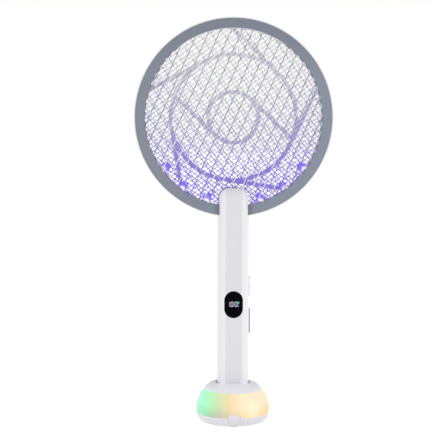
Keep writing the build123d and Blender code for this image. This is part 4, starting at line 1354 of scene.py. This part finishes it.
@dataclass
class RibSwirl:
    """Swirl of ribs behind the high-voltage net: two rings, straight arms and the rim band."""

    width: float = 4.5
    thick: float = 2.6
    set_back: float = 0.2
    edge: float = 0.9
    arm_sink: float = 0.12
    inner_circle: float = 29.1
    middle_circle: float = 72.3
    outer_arms: int = 5
    outer_start: float = -26.6
    inner_arms: int = 2
    inner_start: float = 46.5
    rim_width: float = 2.8
    rim_edge: float = 0.3
    rim_share: float = 0.3
    columns: int = 128
    arm_steps: int = 12

    def build(self, light: VioletLight, finishes: Finishes) -> bpy.types.Object:
        """Makes the swirl in one piece.

        Args:
            light: violet light of the lamps.
            finishes: the object's finishes.

        Returns:
            The swirl.
        """
        low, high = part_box("rib_frame")
        front = low.y + self.set_back * MM
        deep = (front, front + self.thick * MM)
        surface = Surface()
        half = self.width / 2 * MM
        for radius in (self.inner_circle * MM, self.middle_circle * MM):
            profile = rounded_box((radius - half, radius + half), deep, self.edge * MM)
            self.add_ring(surface, profile, light)
        outer = (high.x - low.x) / 2
        rim = rounded_box((outer - self.rim_width * MM, outer), (low.y, high.y), self.rim_edge * MM)
        self.add_ring(surface, rim, light, self.rim_share)
        slim = (self.thick / 2 - self.arm_sink) * MM
        section = rounded_box((-half, half), (-slim, slim), self.edge * MM)
        middle = sum(deep) / 2
        self.add_arms(surface, section, self.inner_arms, self.inner_start, self.inner_circle,
                      self.middle_circle, -1, middle, light)
        self.add_arms(surface, section, self.outer_arms, self.outer_start, self.middle_circle,
                      outer / MM - self.rim_width / 2, 1, middle, light)
        return surface.piece("rib_swirl", "racket", finishes["rib_plastic"],
                             ("rib_frame",))

    def add_ring(self, surface: Surface, profile: np.ndarray, light: VioletLight,
                 share: float = 1.0) -> None:
        """Adds a ring: its profile turned about the head's axis.

        Args:
            surface: what it is added to.
            profile: (radius, depth) points in metres.
            light: violet light of the lamps.
            share: of the light that the ring takes.
        """
        points = about_head(profile, light.height, self.columns)
        faces = grid_faces(len(profile), self.columns, True)
        surface.add(points, (faces,), violet=share * light.at(points))

    def add_arms(self, surface: Surface, section: np.ndarray, count: int, start: float, inner: float,
                 outer: float, turning: int, depth: float, light: VioletLight) -> None:
        """Adds straight arms that leave a circle at a tangent and end on a larger one.

        An arm starts at (inner cos a, inner sin a) and runs along (-sin a, cos a) times its turning.

        Args:
            surface: what they are added to.
            section: of an arm, across it and in depth.
            count: number of arms.
            start: angle of the first arm, in degrees.
            inner: radius of the circle that they leave, in millimetres.
            outer: radius where they end.
            turning: 1 anticlockwise, -1 clockwise.
            depth: of their middles, in metres.
            light: violet light of the lamps.
        """
        angles = np.radians(start + np.arange(count) * 360 / count)[:, None, None]
        outward = np.concatenate([np.cos(angles), 0 * angles, np.sin(angles)], -1)
        along = turning * np.concatenate([-np.sin(angles), 0 * angles, np.cos(angles)], -1)
        length = math.sqrt(outer ** 2 - inner ** 2) * MM
        share = np.linspace(0, 1, self.arm_steps)[None, :, None]
        path = np.array([0.0, depth, light.height]) + outward * inner * MM + along * length * share
        points = swept(section, path, outward * -turning, np.array([0.0, 1.0, 0.0]))
        size = (self.arm_steps, len(section))
        surface.add(points, (grid_faces(*size), cap_faces(*size)), violet=light.at(points))


@dataclass
class Head:
    """Round head: bezel, frame, nets, swirl of ribs and violet lamps."""

    guard_wire: float = 1.2
    rear_wire: float = 1.0
    guard_pitch: float = 11.4
    guard_angles: tuple = (124.7, 65.9)
    front_phases: tuple = (8.35, 4.2)
    rear_phases: tuple = (0.3, 8.85)
    spark_wire: float = 0.55
    spark_pitch: float = 4.42
    spark_angles: tuple = (146.2, 36.1)
    spark_phases: tuple = (3.5, 0.5)
    coats: dict = field(default_factory=lambda: {
        "ring_grey": ("ring_front_bezel",),
        "white_plastic": ("ring_rear_frame",),
        "violet_lens": ("uv_leds",),
        "board_green": ("uv_led_strip",),
        "steel": ("ring_screws",),
    })

    def build(self, finishes: Finishes) -> None:
        """Makes and dresses the head's pieces.

        Args:
            finishes: the object's finishes.
        """
        low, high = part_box("ring_front_bezel")
        light = VioletLight((low.z + high.z) / 2)
        for net in self.nets():
            net.build(light, finishes)
        LampHoods().build(light, finishes)
        RibSwirl().build(light, finishes)
        CrossRecesses("ring_screws", "racket").build(finishes)
        dress(self.coats, finishes)

    def nets(self) -> tuple[WireNet, ...]:
        """Lays out the nets.

        Returns:
            The three nets from front to back.
        """
        # each layer's pair gives the painted light and shade of its wires low down and high up
        side = WireShading
        front = self.layers(self.guard_angles, self.front_phases,
                            ((side.HALF, side.BRIGHT), (side.BRIGHT, side.BRIGHT)))
        spark = self.layers(self.spark_angles, self.spark_phases,
                            ((side.PALE, side.PALE), (side.DULL, side.DULL)))
        rear = self.layers(self.guard_angles, self.rear_phases,
                           ((side.MIDDLING, side.MIDDLING), (side.DULL, side.DULL)))
        return (
            WireNet("front_guard_net", "guard_wire", self.guard_wire, self.guard_pitch, front, 0.15,
                    knot_tone=0.9, hoop_width=2.8, tabs=60),
            WireNet("high_voltage_net", "spark_wire", self.spark_wire, self.spark_pitch, spark,
                    knots=False, sides=6, swell=1.0),
            WireNet("rear_guard_net", "rear_wire", self.rear_wire, self.guard_pitch, rear, swell=0.3),
        )

    @staticmethod
    def layers(angles: tuple, phases: tuple, sides: tuple) -> tuple[WireLayer, ...]:
        """Layers of a net, from front to back.

        Args:
            angles: of the layers, in degrees.
            phases: of the layers, in millimetres.
            sides: pairs of painted shading low down and high up.

        Returns:
            The layers.
        """
        return tuple(WireLayer(angle, phase, *pair)
                     for angle, phase, pair in zip(angles, phases, sides))


def dress(coats: dict, finishes: Finishes) -> None:
    """Gives CAD nodes their finishes through their material slots.

    Args:
        coats: names of the nodes that take each finish, by the finish's name.
        finishes: the object's finishes.
    """
    for finish, nodes in coats.items():
        for name in nodes:
            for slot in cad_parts[name].material_slots:
                slot.material = finishes[finish]
            log.info("%s: %s", name, finish)


# ---------------------------------------------------------------------------- handle
@dataclass(frozen=True)
class Dash:
    """Rounded dash on the display, with its sizes and its middle in millimetres."""

    x: float
    z: float
    width: float
    tall: float


@dataclass
class Display:
    """Lit figures on the black window: a hundred, a leaf-shaped mark and a dot under it."""

    digit_height: float = 5.3
    nought_width: float = 2.6
    stroke: float = 0.62
    lift: float = 0.03
    dome: float = 0.02
    digit_middle: float = 140.6
    nought_x: tuple = (-1.85, 2.75)
    one: tuple = (Dash(-4.6, 139.1, 0.806, 2.3), Dash(-4.6, 142.1, 0.806, 2.3))
    mark: Dash = Dash(5.6, 142.2, 1.7, 3.2)
    dot: Dash = Dash(5.6, 138.2, 1.5, 1.2)
    columns: int = 40
    squareness: float = 0.6
    flat_share: float = 0.7
    roundness: float = 0.35
    slope: float = 0.9

    def build(self, finishes: Finishes) -> None:
        """Makes the figures, a hair in front of the window.

        Args:
            finishes: the object's finishes.
        """
        low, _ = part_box("display_window")
        front = low.y - self.lift * MM
        noughts = Surface()
        half_width, half_height = self.nought_width / 2, self.digit_height / 2
        for x in self.nought_x:
            self.add_loop(noughts, x, self.digit_middle, half_width, half_height, front)
        noughts.piece("display_noughts", "racket", finishes["digit_light"])
        figures = (("display_one", self.one, "dim_digit_light"),
                   ("display_mark", (self.mark,), "green_mark_light"),
                   ("display_dot", (self.dot,), "violet_mark_light"))
        for name, dashes, finish in figures:
            figure = Surface()
            for dash in dashes:
                self.add_dash(figure, dash, front)
            figure.piece(name, "racket", finishes[finish])

    def add_loop(self, surface: Surface, x: float, z: float, half_width: float, half_height: float,
                 front: float) -> None:
        """Adds a closed stroke along a superellipse.

        With n the squareness, its centre line is x + w |cos a|^n sign(cos a), z + h |sin a|^n
        sign(sin a).  The stroke is flat over a share of its width and slopes off at both edges.

        Args:
            surface: what it is added to.
            x: middle across, in millimetres.
            z: middle height.
            half_width: w of the centre line.
            half_height: h of the centre line.
            front: depth of its front, in metres.
        """
        turn = full_turn(self.columns)[None, :]
        grow = np.array([-1, -self.flat_share, self.flat_share, 1])[:, None] * self.stroke / 2
        rise = np.array([self.dome, 0, 0, self.dome])[:, None] * MM
        across = (x + (half_width + grow) * power(np.cos(turn), self.squareness)) * MM
        up = (z + (half_height + grow) * power(np.sin(turn), self.squareness)) * MM
        points = np.stack([across, front + rise + 0 * across, up], -1)
        surface.add(points, (grid_faces(4, self.columns, True)[:, ::-1],))

    def add_dash(self, surface: Surface, dash: Dash, front: float) -> None:
        """Adds a rounded dash, whose front is a little smaller than its back.

        Args:
            surface: what it is added to.
            dash: its place and size.
            front: depth of its front, in metres.
        """
        across, up = dash.width / 2, dash.tall / 2
        corner = self.roundness * min(dash.width, dash.tall)
        edge = rounded_box((-across, across), (-up, up), corner) * MM
        shrink = np.array([1.0, self.slope])[:, None]
        depth = front + np.array([self.dome, 0.0])[:, None] * MM
        points = np.stack([
            dash.x * MM + shrink * edge[:, 0],
            depth + 0 * edge[:, 0],
            dash.z * MM + shrink * edge[:, 1]], -1)
        surface.add(points, (grid_faces(2, len(edge)), cap_faces(2, len(edge))))


@dataclass
class CrossRecesses:
    """Cross recesses of a CAD node's sunk screw heads, drawn as dark crosses of painted shade.

    The screws lie along an axis, 0 to 2 for X to Z, and their heads are on its side, 1 or -1.
    """

    node: str
    body: str
    axis: int = 1
    side: int = 1
    length: float = 2.7
    width: float = 0.75
    lift: float = 0.02
    depth: float = 0.1
    apart: float = 6.0
    rim: float = 0.1

    def build(self, finishes: Finishes) -> bpy.types.Object:
        """Makes a dark cross of painted shade on each head, standing for the recess, a hair proud of
        it.

        The outline is a plus sign of the class's length and width, carried along the screws' axis.

        Args:
            finishes: the object's finishes.

        Returns:
            The crosses.
        """
        long, half = self.length / 2 * MM, self.width / 2 * MM
        arm = np.array([(half, -half), (long, -half), (long, half)])
        quarter = np.array([(0, 1), (-1, 0)])
        turns = [np.linalg.matrix_power(quarter, count) for count in range(4)]
        outline = np.concatenate([arm @ turned for turned in turns])
        facing = self.side * np.eye(3)[self.axis]
        first = np.array([1.0, 0.0, 0.0])
        second = np.cross(facing, first)
        rise = np.array([-self.depth, self.lift])[:, None] * MM * facing
        points = swept(outline, self.heads()[:, None] + rise, first, second)
        surface = Surface()
        size = (2, len(outline))
        surface.add(points, (grid_faces(*size), cap_faces(*size)))
        return surface.piece(self.node + "_recesses", self.body, finishes["steel_recess_shade"])

    def heads(self) -> np.ndarray:
        """Middles of the heads' outer faces.

        Each is the middle of the box round one head's farthest vertices.

        Returns:
            (n, 3) array in metres.
        """
        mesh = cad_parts[self.node].data
        places = np.empty(len(mesh.vertices) * 3)
        mesh.vertices.foreach_get("co", places)
        places = places.reshape(-1, 3)
        reach = places[:, self.axis] * self.side
        outer = places[reach > reach.max() - self.rim * MM]
        middles = []
        while len(outer):
            near = np.linalg.norm(outer - outer[0], axis=1) < self.apart * MM
            middles.append((outer[near].min(0) + outer[near].max(0)) / 2)
            outer = outer[~near]
        return np.array(middles)


@dataclass
class Handle:
    """Handle with its display, switch, button and insides."""

    screws: tuple = ("handle_screws", "neck_screws")
    coats: dict = field(default_factory=lambda: {
        "handle_white": ("handle_front_shell", "handle_rear_shell", "handle_end_cap"),
        "knob_white": ("mode_switch_knob",),
        "key_grey": ("push_button",),
        "display_black": ("display_window",),
        "housing_black": ("display_module", "slide_switch_body", "push_tact_switch",
                          "push_tact_plunger", "battery_holder", "rectifier_diodes"),
        "cell_wrap": ("battery_cell",),
        "board_green": ("charge_board", "main_board", "switch_board"),
        "brass": ("charging_contacts", "battery_clips"),
        "steel": ("handle_screws", "neck_screws"),
        "ferrite": ("transformer_core",),
        "copper": ("transformer_winding",),
        "capacitor_case": ("storage_capacitor",),
        "lead_sleeve": ("net_leads",),
    })

    def build(self, finishes: Finishes) -> None:
        """Makes and dresses the handle's pieces.

        Args:
            finishes: the object's finishes.
        """
        Display().build(finishes)
        for node in self.screws:
            CrossRecesses(node, "racket").build(finishes)
        dress(self.coats, finishes)


# ---------------------------------------------------------------------------- dock
@dataclass
class Dock:
    """Charging dock with its glowing band."""

    bead_height: float = 0.5
    bead_sink: float = 0.35
    bead_sides: int = 8
    bead_columns: int = 144
    coats: dict = field(default_factory=lambda: {
        "cover_white": ("dock_top_cover",),
        "base_white": ("dock_base_shell", "dock_button"),
        "lamp_band": ("lamp_diffuser",),
        "foot_rubber": ("dock_feet",),
        "steel": ("dock_weights", "charge_inlet", "dock_screws"),
        "board_green": ("dock_control_board", "light_ring_board"),
        "housing_black": ("dock_tact_switch", "dock_tact_plunger"),
        "brass": ("charge_pin_sleeves", "charge_pin_left", "charge_pin_right"),
        "white_led": ("light_ring_leds",),
    })

    def build(self, finishes: Finishes) -> None:
        """Makes and dresses the dock's pieces.

        Args:
            finishes: the object's finishes.
        """
        self.add_bead(finishes)
        CrossRecesses("dock_screws", "dock", axis=2, side=-1).build(finishes)
        dress(self.coats, finishes)

    def add_bead(self, finishes: Finishes) -> None:
        """Makes the thin bead in the seam between the glowing band and the cover.

        Its section is a circle round a point of the cover's edge, turned about the dock's axis.

        Args:
            finishes: the object's finishes.
        """
        _, band_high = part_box("lamp_diffuser")
        cover_low, cover_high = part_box("dock_top_cover")
        radius = (cover_high.x - cover_low.x) / 2
        middle = np.array([radius - self.bead_sink / 2 * MM, band_high.z])
        bead = circle(self.bead_height / 2 * MM, self.bead_sides) + middle
        faces = grid_faces(self.bead_sides, self.bead_columns, True)
        surface = Surface()
        surface.add(about_dock(bead, self.bead_columns), (faces,))
        surface.piece("lamp_seam_bead", "dock", finishes["lamp_trim"])


# ---------------------------------------------------------------------------- studio
@dataclass(frozen=True)
class Studio:
    """Pale floor, soft light and the camera.

    Distances and heights are in metres; the lens and its sensor are in millimetres.
    """

    focal: float = 109.3
    distance: float = 1.565
    eye_height: float = 0.355
    turn: float = 2.5
    tilt: float = 4.47
    roll: float = 0.15
    shift_left: float = 0.0112
    sensor: float = 36.0
    floor_reach: float = 12.0
    floor_grey: float = 0.36
    floor_glow: float = 0.8
    front_light: float = 0.57
    side_light: float = 1.12
    side_start: float = 0.2
    top_light: float = 0.45
    top_start: float = 0.3

    def build(self) -> None:
        """Sets up the floor, the light and the camera."""
        self.add_floor()
        self.add_light()
        self.add_camera()

    def add_floor(self) -> None:
        """Makes a wide pale floor under the object."""
        reach = self.floor_reach
        mesh = bpy.data.meshes.new("studio_floor")
        corners = reach * np.array([(-1, -1, 0), (1, -1, 0), (1, 1, 0), (-1, 1, 0)])
        mesh.from_pydata(corners.tolist(), [], [(0, 1, 2, 3)])
        sheet = NodeSheet("studio_floor")
        sheet.set(Base_Color=(*[self.floor_grey] * 3, 1), Roughness=0.9, Specular_IOR_Level=0.0,
                  Emission_Color=WHITE, Emission_Strength=self.floor_glow)
        mesh.materials.append(sheet.material)
        floor = bpy.data.objects.new("studio_floor", mesh)
        bpy.context.scene.collection.objects.link(floor)

    def add_light(self) -> None:
        """Makes an even white surround, dimmer ahead than at the sides and above."""
        world = bpy.data.worlds.new("studio")
        bpy.context.scene.world = world
        world.use_nodes = True
        sky = NodeTree(world.node_tree)
        aside = sky.calculate("ABSOLUTE", sky.coordinate("X", "Generated"))
        height = sky.coordinate("Z", "Generated")
        level = sky.span(aside, self.side_start, 1.0, self.front_light, self.side_light, smooth=True)
        above = sky.span(height, self.top_start, 1.0, 0.0, self.top_light, smooth=True)
        around = sky.add("ShaderNodeBackground")
        sky.join(sky.calculate("ADD", level, above), around.inputs["Strength"])
        plain = sky.add("ShaderNodeBackground")
        for node in (around, plain):
            node.inputs["Color"].default_value = WHITE
        chooser = sky.add("ShaderNodeMixShader")
        sky.join(sky.add("ShaderNodeLightPath").outputs["Is Camera Ray"], chooser.inputs[0])
        sky.join(around.outputs[0], chooser.inputs[1])
        sky.join(plain.outputs[0], chooser.inputs[2])
        sky.join(chooser.outputs[0], sky.add("ShaderNodeOutputWorld").inputs["Surface"])

    def add_camera(self) -> None:
        """Makes the camera in front of the object, a little to its left."""
        data = bpy.data.cameras.new("camera")
        data.sensor_width = self.sensor
        data.lens = self.focal
        camera = bpy.data.objects.new("camera", data)
        bpy.context.scene.collection.objects.link(camera)
        turn = math.radians(self.turn)
        ahead = Vector((math.sin(turn), math.cos(turn), 0))
        aside = Vector((math.cos(turn), -math.sin(turn), 0))
        eye = Vector((0, 0, self.eye_height))
        camera.location = eye - ahead * self.distance - aside * self.shift_left
        camera.rotation_euler = Euler((math.radians(90 - self.tilt), 0, -turn), "XYZ")
        camera.rotation_euler.rotate_axis("Z", math.radians(self.roll))
        bpy.context.scene.camera = camera
        bpy.context.scene.view_settings.view_transform = "Standard"


def main() -> None:
    """Dresses the frame, builds the finer pieces and sets up the studio."""
    logging.basicConfig(level=logging.INFO, format="%(message)s")
    bpy.context.view_layer.update()
    finishes = Finishes()
    for assembly in (Head(), Handle(), Dock()):
        assembly.build(finishes)
        log.info("%s dressed", type(assembly).__name__)
    Studio().build()
    bpy.context.view_layer.update()


if __name__ == "__main__":
    main()
